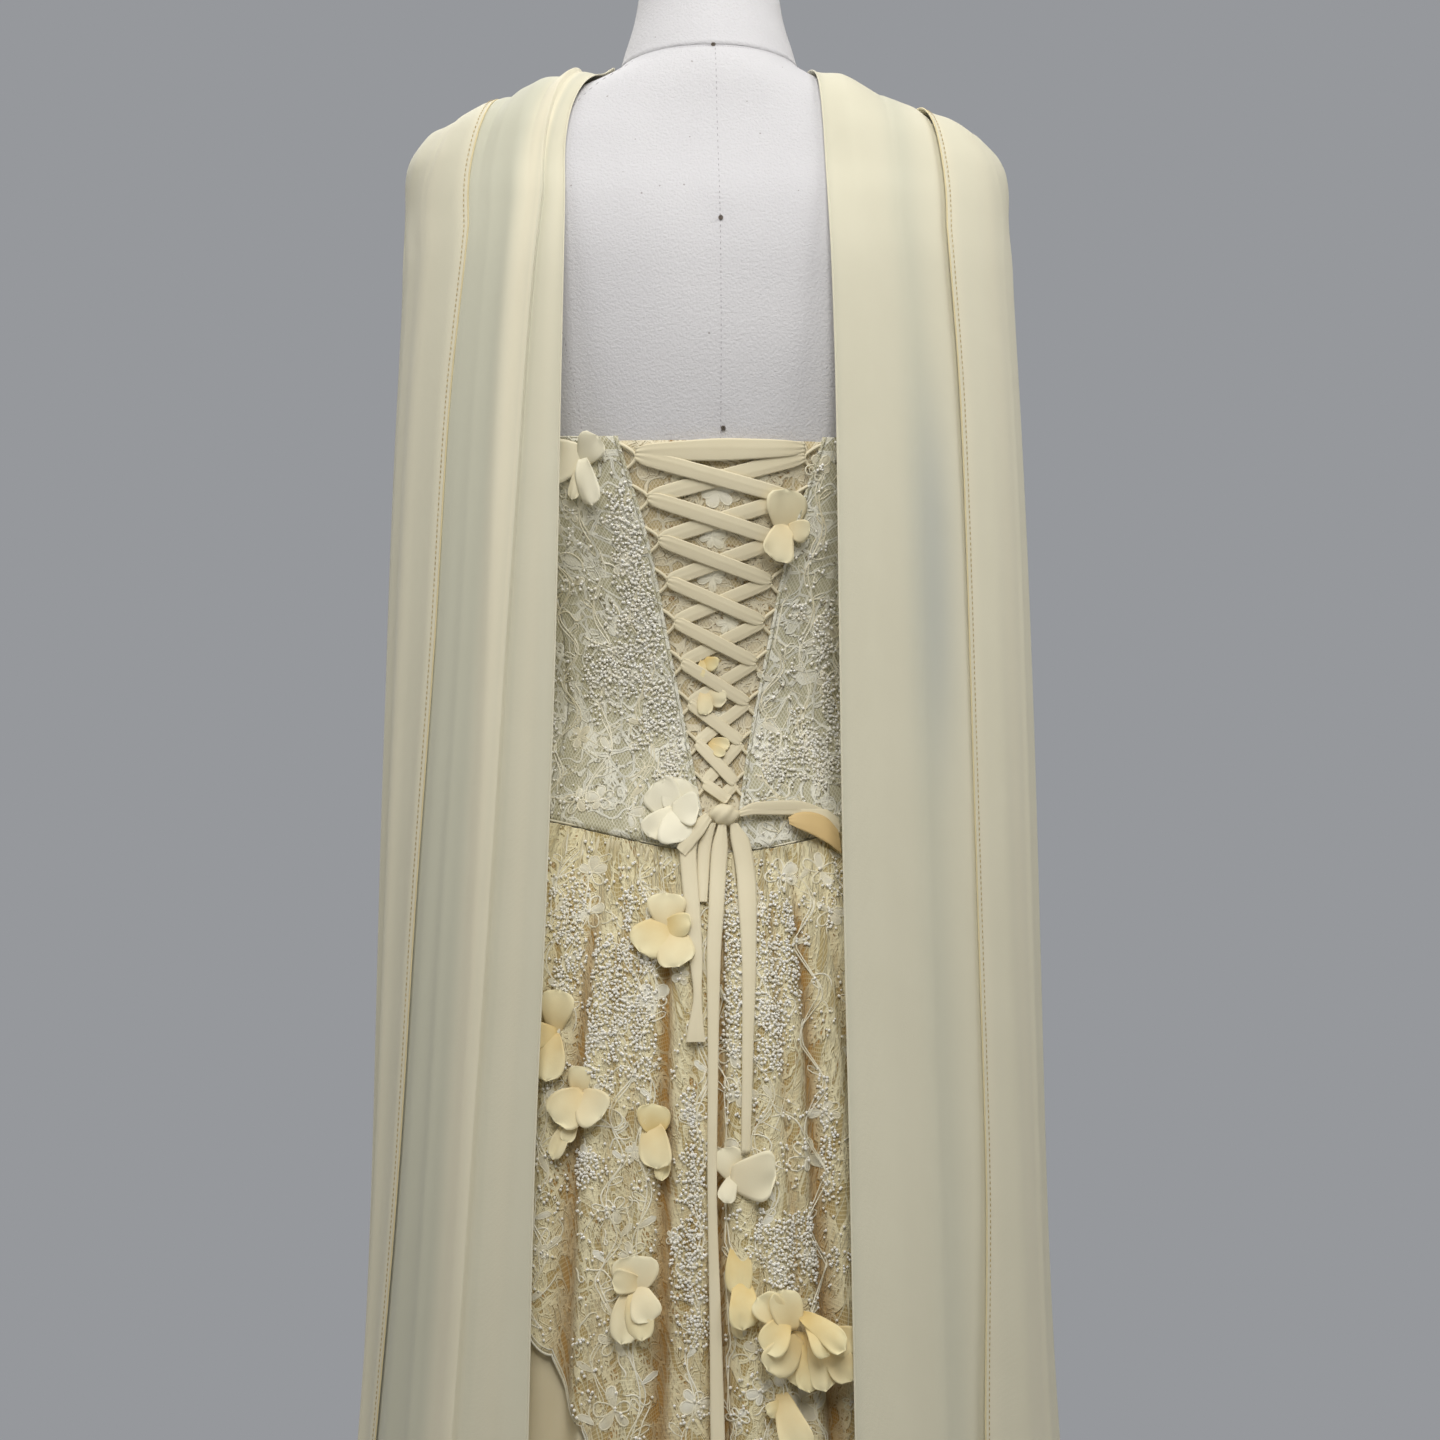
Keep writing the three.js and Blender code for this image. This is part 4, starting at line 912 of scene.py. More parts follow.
def joined(parts):
    """One set of points and faces from several."""
    points, faces, count = [], [], 0
    for some_points, some_faces in parts:
        points.append(some_points.reshape(-1, 3))
        faces.append(some_faces + count)
        count += len(points[-1])
    return np.vstack(points), np.vstack(faces)


def sewn_piece(name, parts, material):
    """Threads, cords or patches sewn to the lace, as one piece."""
    points, faces = joined(parts)
    finish_piece(make_mesh(name, points, facing_out(points, faces)), material)


def add_loops():
    """The bound edges of the laced opening, each with its row of rouleau loops."""
    rows = np.arange(LACING["rows"])[:, None]
    t = np.linspace(-1, 1, 25)[None, :]
    z = row_z(rows) + LOOP["half"] * t
    inward = mix(-2.5, loop_reach(rows), np.clip(1 - np.abs(t) ** 1.6, 0, 1))
    route, normal = FORM.at(opening_angle(z, -inward), z)
    route = route + normal * (BODICE_FACE - 0.6)
    loops = tube(route, LOOP["radius"], normal)

    def band(u, v):
        z = mix(WAIST_BACK_Z + 2, BODICE_TOP_BACK_Z, v)
        angle = mix(opening_angle(z, 0.1), opening_angle(z, PIPING + 0.4), u)
        return FORM.lifted(angle, z, BODICE_FACE - 0.5 + 1.2 * np.sin(math.pi * u) ** 0.5)

    points = grid(band, 8, 90)
    for name, sign in SIDES.items():
        cloth(
            f"edge_binding_{name}", points * [sign, 1, 1], BODICE_LACE, [], THICK["panel"],
            1.06, {"depth": 0.0},
        )
        flat, faces = loops[0] * [sign, 1, 1], loops[1] if sign > 0 else loops[1][:, ::-1]
        piece = make_mesh(f"rouleau_loops_{name}", flat, faces, np.zeros((len(flat), 2)))
        finish_piece(piece, RIBBON, [f"loop_band_{name}"])


# ---- ribbons ----
def ribbon_grid(surface, rows, across, columns, steps, crown, creases):
    """A ribbon laid on the body. Rows give its middle as x, z and lift, and its width, and across is the way
    its width runs in x and z. It is crowned, and creased lengthwise where it is gathered at its ends."""
    rows = np.array(rows, float)
    knots = np.linspace(0, 1, len(rows))
    middle = [monotone(knots, rows[:, k]) for k in range(4)]
    direction = np.array(across, float) / math.hypot(*across)

    def point(u, v):
        x, z, lift, width = (read(v) for read in middle)
        aside = (u - 0.5) * width
        ends = np.exp(-v * 9) + np.exp(-(1 - v) * 9)
        pleats = np.cos(2 * math.pi * 2.5 * u) * ends + 0.3 * bell(u, 0.25 + 0.3 * v, 0.06)
        rise = crown * (1 - (2 * u - 1) ** 2) + creases * pleats
        x, z = x + direction[0] * aside, z + direction[1] * aside
        return surface.lifted(surface.angle_at(x, z), z, lift + rise)

    return grid(point, columns, steps)


def lacing_stretch(start, end, rise, end_rise=0.0, down=0.0, fuller=1.0):
    """One crossing stretch, which rides over or under the others at its middle, where a factor makes it
    fuller. As down goes from 0 to 1, the ribbon lies narrower and is less gathered where it turns."""
    level = BODICE_FACE - BODICE_THICK + 1.5
    wide = mix(1, 0.7, down) * LACING["width"]
    narrow = mix(LACING["pinch"], 0.8, down) * wide
    shares = np.array([0, 0.08, 0.3, 0.5, 0.7, 0.92, 1])
    half = [narrow, mix(narrow, wide, 0.85), wide * mix(1, fuller, 0.6)]
    widths = [*half, wide * fuller, *half[::-1]]
    lifts = level + rise * np.array([0, 0.4, 0.85, 1, 0.85, 0.4, 0])
    lifts[-1] += end_rise
    (x0, z0), (x1, z1) = start, end
    rows = np.stack([mix(x0, x1, shares), mix(z0, z1, shares), lifts, widths], axis=1)
    return ribbon_grid(FORM, rows, (z0 - z1, x1 - x0), columns=12, steps=30, crown=0.35, creases=0.36)


def loop_tip(row, side):
    """Where the ribbon turns in a loop, as x and z."""
    z = row_z(row)
    return side * (OPENING["half"](z) - loop_reach(row) - LOOP["radius"] + 1.2), z


def add_lacing():
    """Two ribbons that cross from loop to loop down to the knot. The first starts with a stretch straight
    across the top."""
    rows = LACING["rows"]
    for name, first in (("a", 1), ("b", -1)):
        stretches = []
        for row in range(rows):
            side = first if row % 2 == 0 else -first
            rise = side * LACING["ride"]
            last = row + 1 == rows
            following = (KNOT["x"] - side * 3, KNOT["z"] + 8) if last else loop_tip(row + 1, -side)
            end_rise = rise if last else 0
            stretches.append(lacing_stretch(loop_tip(row, side), following, rise, end_rise, row / (rows - 1)))
        if first > 0:
            (x0, z0), (x1, z1) = loop_tip(0, 1), loop_tip(0, -1)
            stretches.append(lacing_stretch((x0, z0 + 2), (x1, z1 + 5), 0.6, fuller=1.35))
        for i, points in enumerate(stretches):
            cloth(
                f"lacing_{name}_{i + 1}", points, RIBBON, [f"lacing_ribbon_{name}"],
                THICK["ribbon"], 1.06,
            )


# Each tail by its middle line: x, z, lift off the waist, and width.
TAILS = {
    "a": [(16, 991, 2.6, 6.5), (20.2, 978, 2.8, 10), (18.4, 945, 2, 9.5), (16.8, 917, 1.8, 8),
          (16.2, 896, 2.4, 5), (17.5, 876, 2.2, 9.5), (17.7, 868, 1.8, 12)],
    "b": [(5, 997, 1.8, 4), (10, 984, 1.4, 8.2), (11.5, 966, 1.3, 7.5), (12, 950, 1.3, 5)],
    "c": [(-0.5, 996, 2.4, 5), (1.5, 978, 2.2, 10), (4.2, 945, 2.2, 9.4), (6.2, 917, 2.1, 8.4),
          (7.5, 860, 2, 6.4), (9, 778, 2, 5.6), (8, 704, 2, 7), (7.5, 640, 2, 8.4), (6, 560, 2, 9)],
    "d": [(-7.5, 997, 2, 5), (-12, 984, 1.8, 11.6), (-14.8, 958, 1.6, 11.6), (-15, 920, 1.5, 9),
          (-13.4, 870, 1.5, 7), (-11, 803, 1.5, 5.5)],
}
# The tab and the loop's two sides in the same way. Each also has the way its width runs, and its node.
BOWS = {
    "tie_folded_tab": (
        [(7.6, 1001, 3.2, 6), (15, 992, 4.8, 9.5), (20, 986, 4.6, 9.5), (24.5, 979, 3.8, 7)],
        (0.7, 0.7), "tie_tab",
    ),
    "tie_loop_upper": (
        [(-10.8, 1003, 2.4, 4.5), (-22, 1006, 2.8, 8.6), (-44, 1006.2, 3.2, 10), (-61, 1001.6, 3.8, 10),
         (-72, 994.5, 4.2, 10)],
        (0.12, 1), "tie_loop",
    ),
    "tie_loop_lower": (
        [(-41, 998, 2.6, 4), (-46, 997.4, 4.4, 9.5), (-54, 995.6, 5.2, 14), (-63, 991.8, 5.0, 16.5),
         (-72, 986, 3.6, 17)],
        (0.12, 1), "tie_loop",
    ),
}


def add_tie():
    """The waist tie: a wrapped knot, four tails, a folded tab and one loop lying to the right."""
    laid = {}
    for name, rows in TAILS.items():
        points = ribbon_grid(WAIST, rows, (1, 0), columns=8, steps=20 * len(rows), crown=0.8, creases=0.3)
        laid[f"tie_{name}_tail"] = (points, f"tie_tail_{name}")
    for name, (rows, across, node_name) in BOWS.items():
        points = ribbon_grid(WAIST, rows, across, columns=10, steps=60, crown=0.6, creases=0.35)
        laid[name] = (points, node_name)
    for name, (points, node_name) in laid.items():
        # The loop's lower side takes the golden painted shade of the loop's inside.
        side_out = RIBBON_LOOP_SHADE if name == "tie_loop_lower" else RIBBON
        cloth(
            name, points, side_out, [node_name], THICK["ribbon"], 1.15
        )

    seat, normal = WAIST.at(WAIST.angle_at(KNOT["x"], KNOT["z"]), KNOT["z"])
    seat = seat + normal * KNOT["lift"]
    columns, rows, pole = 40, 24, 0.04
    around = np.linspace(0, 2 * math.pi, columns, endpoint=False)
    u, v = np.meshgrid(around, np.linspace(pole, math.pi - pole, rows + 1))
    ball = np.stack([np.sin(v) * np.cos(u), np.sin(v) * np.sin(u), np.cos(v)], axis=-1)
    wraps = 1 + 0.07 * np.cos(7 * ball[..., 0] + 4 * ball[..., 2]) + 0.12 * bell(ball[..., 0] * 0.9, 0, 0.3)
    points = seat + ball * wraps[..., None] * [KNOT["width"], KNOT["depth"], KNOT["height"]]
    flat = points.reshape(-1, 3)
    faces = grid_faces(rows, columns, closed=True)[:, ::-1]
    piece = make_mesh("tie_knot_wrap", flat, faces, np.stack([u * 8, v * 6], axis=-1))
    close_ends(piece)
    finish_piece(piece, RIBBON, ["tie_knot"])


# ---- skirts ----
def skirt_grid(degrees, columns, rows, hem_z, inset=0.0):
    """A skirt panel between two angles, from the waist seam to its hem; its rows crowd towards the waist.
    Returns its points, and the angle and height of each."""
    start, end = (math.radians(d) for d in degrees)

    def point(u, v):
        angle = mix(start, end, u)
        z = mix(hem_z(angle), waist_seam_z(angle) + WAIST_RISE, 1 - (1 - v) ** 1.5)
        return SKIRT.lifted(angle, z, -inset * smooth(990, 900, z) - (0.4 if inset else 0)), angle, z

    return grid(point, columns, rows)


def add_skirts():
    """The plain underskirt, and the lace skirt over it, which stores how far into a fold each point is, for
    the painted shade in its folds.
    """
    floor = lambda angle: np.full(np.shape(angle), float(SKIRT_HEM_Z))
    for name, degrees in {"back": (-90, 90), "front": (90, 270)}.items():
        points = skirt_grid(degrees, 210, 48, floor, inset=4)[0]
        cloth(
            f"underskirt_{name}_lining", points, LINING, [f"underskirt_{name}"], THICK["skirt"],
        )
    panels = {"back_left": (0, 90, 130), "back_right": (-90, 0, 130), "front": (90, 270, 240)}
    for name, (start, end, columns) in panels.items():
        points, angle, z = skirt_grid((start, end), columns, 90, lace_hem_z)
        # Painted shade: how deep in a fold each point lies, which the lace's material darkens towards gold.
        depth = np.clip(fold_valleys(angle, z) * smooth(985, 930, z), 0, 1) ** 2.2
        cloth(
            f"lace_skirt_{name}_panel", points, SKIRT_LACE, [f"lace_skirt_{name}"], THICK["skirt"],
            attributes={"depth": depth},
        )


# ---- cape ----
def ridge_height(x):
    """The height at which the shoulder line passes x, by halving."""
    x = np.asarray(x, float)
    low, high = np.full(x.shape, TILT_FROM_Z + 4.0), np.full(x.shape, float(NECK_SEAM_Z))
    for _ in range(30):
        middle = (low + high) / 2
        wide = FORM_RINGS["side"](middle) > x
        low, high = np.where(wide, middle, low), np.where(wide, high, middle)
    return low


# Folds of each cape layer: share of its width, half width as a share, height in mm, and the z above which
# the fold has died out.
CAPE_FOLDS = {
    ("left", "inner"): [
        (0.12, 0.06, 1.4, 1500), (0.4, 0.07, 4.2, 1500), (0.62, 0.03, 1.2, 1350), (0.77, 0.05, 1.8, 1300)
    ],
    ("left", "outer"): [(0.1, 0.07, 1.1, 1420), (0.44, 0.10, 3.2, 1380), (0.76, 0.07, 2.4, 1330)],
    ("right", "inner"): [
        (0.25, 0.14, 3.6, 1500), (0.52, 0.03, 1.0, 1400), (0.78, 0.06, 3.2, 1400), (0.93, 0.05, 1.2, 1300)
    ],
    ("right", "outer"): [(0.26, 0.10, 2.4, 1380), (0.58, 0.05, 2.2, 1350), (0.84, 0.06, 2.0, 1300)],
}
# Where the cloth dips between its soft mounds on the shoulder line (x in mm), and how high they stand.
MOUNDS = {"left": ([50, 86, 118, 153, 190], 3.4), "right": ([46, 102, 131, 190], 1.6)}
# The sharp pleat of the left inner layer: its share of the width at each height, its column of the grid, the
# half width of its crease there, and its step in mm.
PLEAT = {
    "share": table("z share", [(600, 0.34), (1080, 0.33), (1244, 0.28), (1345, 0.24), (1440, 0.14)])["share"],
    "column": 0.2,
    "crease": 0.006,
    "step": 3.4,
}


def mounds(name, x):
    """Rounded swells between the valleys, by the sine of how far x has come from one valley to the next."""
    valleys, size = MOUNDS[name]
    place = np.interp(np.abs(x), valleys, np.arange(len(valleys)))
    return size * np.abs(np.sin(math.pi * place)) ** 0.7


def bridged(points, step, reach=0.16):
    """Rounds off the rows near the shoulder line, where front and back meet, by a cubic Hermite arch."""
    first, last = np.searchsorted(step[:, 0], [1 - reach, 1 + reach])
    a, b = points[first], points[last]
    gap = np.linalg.norm(b - a, axis=-1, keepdims=True)
    leave, arrive = unit(a - points[first - 2]) * gap, unit(points[last + 2] - b) * gap
    s = np.linspace(0, 1, last - first + 1)[:, None, None]
    ease = s * s * (3 - 2 * s)
    points[first:last + 1] = mix(a, b, ease) + (s**3 - 2 * s**2 + s) * leave + (s**3 - s**2) * arrive
    return points


def cape_grid(name, layer):
    """One cape layer. Its steps from 0 to 1 go from the bodice's top edge up to the shoulder line, to 2 over
    it and down a quarter of an arch, and to 3 in a free fall to the hem. Its folds are soft ridges that grow
    down the fall, and the left inner layer has one sharp pleat. Returns the points, each point's share of the
    width, and its height."""
    sign = SIDES[name]
    edges = CAPE_EDGES[name]
    free = math.radians(CAPE_SIDE_DEG)
    inner = lambda z: CAPE.angle_at(edges["inner"](z), z)
    hem = lambda z: CAPE.angle_at(edges["hem"](z), z)
    if layer == "inner":
        anchor_end = mix(CAPE_ANCHOR["middle"], CAPE_ANCHOR["outer"], CAPE_UNDERLAP)
        anchors = (CAPE_ANCHOR["inner"], anchor_end)
        crossing_x = (RIDGE["neck"], mix(RIDGE["hem"], RIDGE["tip"], CAPE_UNDERLAP))
        edge = lambda z, t: mix(inner(z), mix(hem(z), free, CAPE_UNDERLAP), t)
    else:
        anchors = (CAPE_ANCHOR["middle"], CAPE_ANCHOR["outer"])
        crossing_x = (RIDGE["hem"], RIDGE["tip"])
        edge = lambda z, t: mix(hem(z), free, t)
    pleated = (name, layer) == ("left", "inner")
    column, crease, rows = PLEAT["column"], PLEAT["crease"], 150
    columns = np.concatenate([
        np.linspace(0, column - 2 * crease, 16), np.linspace(column - crease, column + crease, 5),
        np.linspace(column + 2 * crease, 1, 52),
    ])
    u, v = np.meshgrid(columns, np.linspace(0, 1, rows + 1))
    step = 3 * v
    share = PLEAT["share"](mix(1400, CAPE_HEM_Z, np.clip(step - 2, 0, 1) ** 1.5)) if pleated else column
    t = np.where(u < column, u / column * share, mix(share, 1, (u - column) / (1 - column)))

    across = mix(*crossing_x, t)
    crossing = ridge_height(across)
    low = crossing - SHOULDER_FALL
    quarter = math.pi / 2
    foot = np.radians(mix(*anchors, t))
    bend = np.clip(1 - step, 0, 1) ** 1.5 * quarter
    front_angle = mix(quarter, foot, np.sin(bend))
    front_z = mix(crossing, bodice_top_z(foot) + 1, 1 - np.cos(bend))
    turn = np.clip(step - 1, 0, 1) ** 1.5 * quarter
    drop = 1 - np.cos(turn)
    turn_z = mix(crossing, low, drop)
    target = CAPE.point(edge(low, t), low)[..., 0]
    turn_x = mix(across, target, 1 - (1 - drop) ** 3)
    turn_angle = CAPE.angle_at(turn_x, turn_z)
    fall_z = mix(low, CAPE_HEM_Z, np.clip(step - 2, 0, 1) ** 1.5)
    angle = np.where(step <= 1, front_angle, np.where(step <= 2, turn_angle, edge(fall_z, t)))
    z = np.where(step <= 1, front_z, np.where(step <= 2, turn_z, fall_z))

    held = 0.12 + 0.88 * smooth(0, 0.22, t) if layer == "inner" else 1.0
    near = bell(z, crossing, RIDGE["softness"])
    level = CAPE_THICK + 0.6 + held * (2.5 * smooth(0, 0.2, 1 - step) + RIDGE["clearance"] * near)
    level = level + held * mounds(name, across) * bell(z, crossing, 50)
    if layer == "outer":
        level = level + mix(3.6, 2.2, smooth(700, 1380, z)) * (1 - smooth(0.35, 0.65, t)) + 1.4
    for i, (middle, width, size, top) in enumerate(CAPE_FOLDS[name, layer]):
        wander = 0.025 * np.sin(z / 210 + 1.7 * i)
        grow = mix(0.25, 1, smooth(top, top - 420, z)) * (1 + 0.9 * smooth(800, 100, z))
        level = level + size * grow * bell(t, middle + wander, width)
    if layer == "inner":
        level = level - (level - CAPE_THICK - 0.6) * 0.7 * smooth(0.84, 0.93, t)
    if pleated:
        level = level + PLEAT["step"] * smooth(column - 0.005, column + 0.005, u)
    laid = np.where(step[..., None] <= 1, FORM.lifted(angle, z, level), CAPE.lifted(angle, z, level))
    return bridged(laid, step) * [sign, 1, 1], t, z


def warmth_and_shade_share(name, layer, t, z):
    """How golden the chiffon looks, with painted shade: warmest where it doubles at an edge and in a band
    beside the pleat, lower where shade is painted, in the crease by the pleat, beside the outer layer's hem,
    at a layer's inner edge, in a soft trough and where one layer turns away.
    """
    if (name, layer) == ("left", "inner"):
        pleat = PLEAT["share"](z)
        strip = 0.15 * bell(t, pleat - 0.16, 0.07) - 0.12 * bell(t, pleat - 0.03, 0.02)
        line = 0.35 * bell(t, pleat + 0.08, 0.07) + 0.2 * bell(t, pleat + 0.012, 0.012)
        return 0.5 + strip + line - 0.3 * smooth(pleat + 0.14, pleat + 0.25, t)
    if layer == "inner":
        return 0.55 - 0.14 * bell(t, 0, 0.04) - 0.25 * bell(t, 0.56, 0.1) + 0.15 * bell(t, 0.8, 0.04)
    return 0.55 + 0.15 * bell(t, 0.04, 0.06) + 0.1 * bell(t, 0.4, 0.12) - 0.1 * smooth(0.6, 1, t)


def see_through_shade_share(name, layer, t, z):
    """Painted shade seen through the chiffon where it hangs clear of what is behind it, which makes it
    greyer.
    """
    if (name, layer) != ("right", "inner"):
        return 0 * t
    return 0.8 * bell(t, 0.62, 0.12) * smooth(980, 1130, z) * smooth(1310, 1170, z)


def add_hem(name, points, inset):
    """A narrow rolled hem along a layer's inner edge: a roll on the edge itself, and a row of stitches where
    the hem is inset."""
    edge, side = points[:, 0], unit(points[:, 1] - points[:, 0])
    normal = unit(np.cross(side, np.gradient(edge, axis=0)))
    normal = normal * np.sign((normal * (edge - edge.mean(axis=0)) * [1, 1, 0]).sum())
    flat, faces = tube((edge + side * 0.3)[None], 0.6, normal[None], sides=6, squash=0.7)
    shades = {"warmth_and_shade": 0.6, "see_through_shade": 0.0}
    roll = make_mesh(f"cape_{name}_hem_roll", flat, facing_out(flat, faces), None, shades)
    # Where the hem is inset, the golden roll also paints the shadow line along it.
    finish_piece(roll, HEM_ROLL_AND_SHADOW_LINE if inset else CHIFFON)
    if not inset:
        return
    line = edge + side * inset
    run = np.concatenate([[0], np.linalg.norm(np.diff(line, axis=0), axis=1).cumsum()])
    spots = np.arange(2, run[-1] - 4, HEM_STITCH_PITCH)
    at = lambda places, values: np.stack([np.interp(places, run, values[:, k]) for k in range(3)], axis=1)
    out = at(spots, normal) * 0.42
    starts, ends = at(spots, line) + out, at(spots + HEM_STITCH_LENGTH, line) + out
    rods(f"cape_{name}_hem_stitches", starts, ends, 0.3, HEM_STITCH)


def add_cape():
    """Two layers on each side. The outer ones have the hem that shows."""
    for name in SIDES:
        for layer in ("inner", "outer"):
            points, t, z = cape_grid(name, layer)
            # The chiffon's tone with painted shade, and the painted shade seen through it.
            attributes = {
                "warmth_and_shade": np.clip(warmth_and_shade_share(name, layer, t, z), 0, 1).ravel(),
                "see_through_shade": see_through_shade_share(name, layer, t, z).ravel(),
            }
            cloth(
                f"cape_{name}_{layer}_fall", points, CHIFFON, [f"cape_{name}_{layer}"],
                THICK["chiffon"], attributes=attributes,
            )
            add_hem(f"{name}_{layer}", points, OUTER_HEM if layer == "outer" else 0)


# ---- lace worked on the cloth ----
BODICE_CLOTH = (FORM, BODICE_FACE + 0.1)
SKIRT_CLOTH = (SKIRT, 0.1)
PANEL_CLOTH = (FORM, MODESTY_FACE + 0.1)


def on_cloth(carrier, angle, z):
    """Points on the face of the cloth, and its normals there."""
    surface, face = carrier
    point, normal = surface.at(angle, z)
    return point + normal * face, normal


def ring_radius(carrier, angle, z):
    """The distance from the body's axis to the surface."""
    return np.linalg.norm(carrier[0].point(angle, z)[..., :2], axis=-1)


def spread(carrier, angle, z, across, up):
    """Angles and heights of places given in mm across and up from each motif's own middle."""
    extra = (None,) * (across.ndim - 1)
    radius = ring_radius(carrier, angle, z)
    return angle[(...,) + extra] + across / radius[(...,) + extra], z[(...,) + extra] + up


def pivoted(x, y, bearing):
    """Turns motif places by each motif's bearing, clockwise from up."""
    extra = (...,) + (None,) * (x.ndim - 1)
    c, s = np.cos(bearing)[extra], np.sin(bearing)[extra]
    return x * c + y * s, y * c - x * s


def threads(carrier, angle, z, across, up, radius):
    """Threads lying on the cloth, one for each row of across and up. The section is a low roof, two feet a
    radius to the sides and a ridge above, and it narrows to nothing at both ends."""
    place, height = spread(carrier, angle, z, across, up)
    foot, normal = on_cloth(carrier, place, height)
    side = unit(np.cross(normal, np.gradient(foot, axis=1)))
    share = np.linspace(0, 1, across.shape[1])
    taper = np.clip(np.minimum(share, 1 - share) * 10, 0.1, 1)
    size = (np.broadcast_to(radius, angle.shape)[:, None] * taper)[..., None]
    points = np.stack([foot + side * size, foot + normal * size * 1.3, foot - side * size], axis=2)
    faces = grid_faces(across.shape[1] - 1, 2)
    return points.reshape(-1, 3), repeated(faces, len(angle), across.shape[1] * 3)


def teardrop(phi, length, width):
    """A petal's outline: y rises as (1 - cos)/2, x swells as sin times a width that grows with y."""
    rise = (1 - np.cos(phi)) / 2
    return width * np.sin(phi) * (0.35 + 0.65 * rise), length * rise


def outlines(carrier, angle, z, length, width, bearing, radius, points=13):
    """A corded outline for each petal or leaf."""
    phi = np.linspace(0, 2 * math.pi, points)[None, :]
    x, y = teardrop(phi, length[:, None], width[:, None])
    return threads(carrier, angle, z, *pivoted(x, y, bearing), radius)


def patches(carrier, angle, z, length, width, bearing, dome=0.45, columns=4, rows=4):
    """A low dome of close-worked thread inside each petal's outline."""
    s, phi = np.meshgrid(np.linspace(-1, 1, columns + 1), np.linspace(0.0, math.pi, rows + 1))
    x, y = teardrop(phi[None], length[:, None, None], width[:, None, None])
    x, y = pivoted(x * s, y, bearing)
    place, height = spread(carrier, angle, z, x, y)
    foot, normal = on_cloth(carrier, place, height)
    rise = dome * (1 - s**2) * np.sin(phi)
    points = foot + normal * rise[None, ..., None]
    return points.reshape(-1, 3), repeated(grid_faces(rows, columns), len(angle), rise.size)


def beads(carrier, angle, z, size):
    """An icosahedron for each bead, resting on the cloth."""
    work = bmesh.new()
    bmesh.ops.create_icosphere(work, subdivisions=1, radius=1)
    ball = np.array([vertex.co for vertex in work.verts])
    faces = np.array([[vertex.index for vertex in face.verts] for face in work.faces])
    work.free()
    foot, normal = on_cloth(carrier, angle, z)
    centre = foot + normal * (size * 0.55 + (np.arange(len(size)) % 3) * 0.35)[:, None]
    points = centre[:, None] + ball[None] * size[:, None, None]
    return points.reshape(-1, 3), repeated(faces, len(angle), len(ball))


# Bead clusters behind: x, z, and half width and half height, in mm.
BODICE_BEADS = [
    (54, 1169, 11, 33), (45, 1130, 16, 30), (53, 1091, 22, 20), (35, 1067, 11, 24), (70, 1091, 9, 15),
    (29, 1031, 8, 18), (-34, 1034, 14, 12), (-59, 1037, 14, 17), (-69, 1070, 8, 21), (-64, 1107, 6, 18),
]
SKIRT_BEADS = [
    (93, 945, 11, 18), (83, 914, 18, 24), (67, 894, 21, 32), (79, 873, 22, 23), (55, 940, 8, 18),
    (52, 877, 9, 26), (-4, 932, 5, 32), (-4, 883, 5, 32), (-37, 940, 14, 13), (-33, 914, 16, 21),
    (-28, 886, 14, 20), (-29, 863, 12, 13), (96, 856, 12, 9), (85, 793, 11, 10), (22, 827, 7, 13),
    (21, 805, 9, 13), (21, 784, 10, 16), (23, 754, 10, 20), (22, 726, 10, 13), (22, 705, 9, 13),
    (-56, 840, 6, 13), (-60, 813, 7, 18), (-62, 787, 7, 18), (-46, 760, 20, 12), (-32, 745, 12, 12),
    (-54, 740, 12, 17), (-41, 730, 12, 8), (-20, 760, 3, 13),
]
# Flat flowers behind: x, z and radius.
BODICE_FLOWERS = [
    (84, 1010, 9), (71, 1011, 9), (55, 1003, 10), (-67, 1119, 10), (-66, 1084, 8), (95, 1206, 9),
    (-60, 1215, 8),
]
SKIRT_FLOWERS = [
    (79, 968, 11), (-62, 968, 12), (-67, 944, 11), (-38, 966, 10), (81, 945, 11), (70, 694, 11), (65, 724, 9),
    (26, 908, 6), (20, 826, 8), (100, 834, 8), (-18, 690, 8), (-19, 666, 8), (20, 660, 9), (59, 744, 9),
    (-46, 659, 14), (70, 655, 12), (94, 738, 10), (-31, 679, 8), (108, 684, 9), (-61, 826, 8), (48, 680, 9),
]
PANEL_FLOWERS = [
    (2, 1200, 11), (-22, 1208, 8), (-38, 1218, 7), (24, 1212, 8), (5, 1172, 8), (4, 1148, 9), (-6, 1120, 7),
    (6, 1090, 7), (-2, 1060, 6),
]
# Windowpane net behind: x, z, half width and half height.
PANES = {"bodice": [(-36, 1067, 16, 20), (77, 1043, 15, 9)], "skirt": [(90, 768, 13, 16), (-29, 831, 15, 18)]}


def lattice(carrier, chance, z_low, z_high, spacing, stray=0.3):
    """Jittered places a spacing apart all round the body, as angles and heights."""
    found = []
    for row, z in enumerate(np.arange(z_low, z_high, spacing)):
        radius = float(ring_radius(carrier, 0.8, z))
        count = int(2 * math.pi * radius / spacing)
        angle = (np.arange(count) + 0.5 * (row % 2)) * 2 * math.pi / count
        jitter = chance.uniform(-stray, stray, (2, count))
        found.append(np.stack([wrapped(angle + jitter[0] * spacing / radius), z + jitter[1] * spacing]))
    return np.concatenate(found, axis=1)


def on_bodice(angle, z, margin=6):
    """Whether a place is on the bodice's cloth, clear of its edges and of the laced opening."""
    behind = np.cos(angle) > 0
    x = FORM.point(angle, z)[..., 0]
    opened = behind & (np.abs(x) < OPENING["half"](z) + PIPING + margin * 0.4)
    return (z > waist_seam_z(angle) + margin) & (z < bodice_top_z(angle) - margin) & ~opened


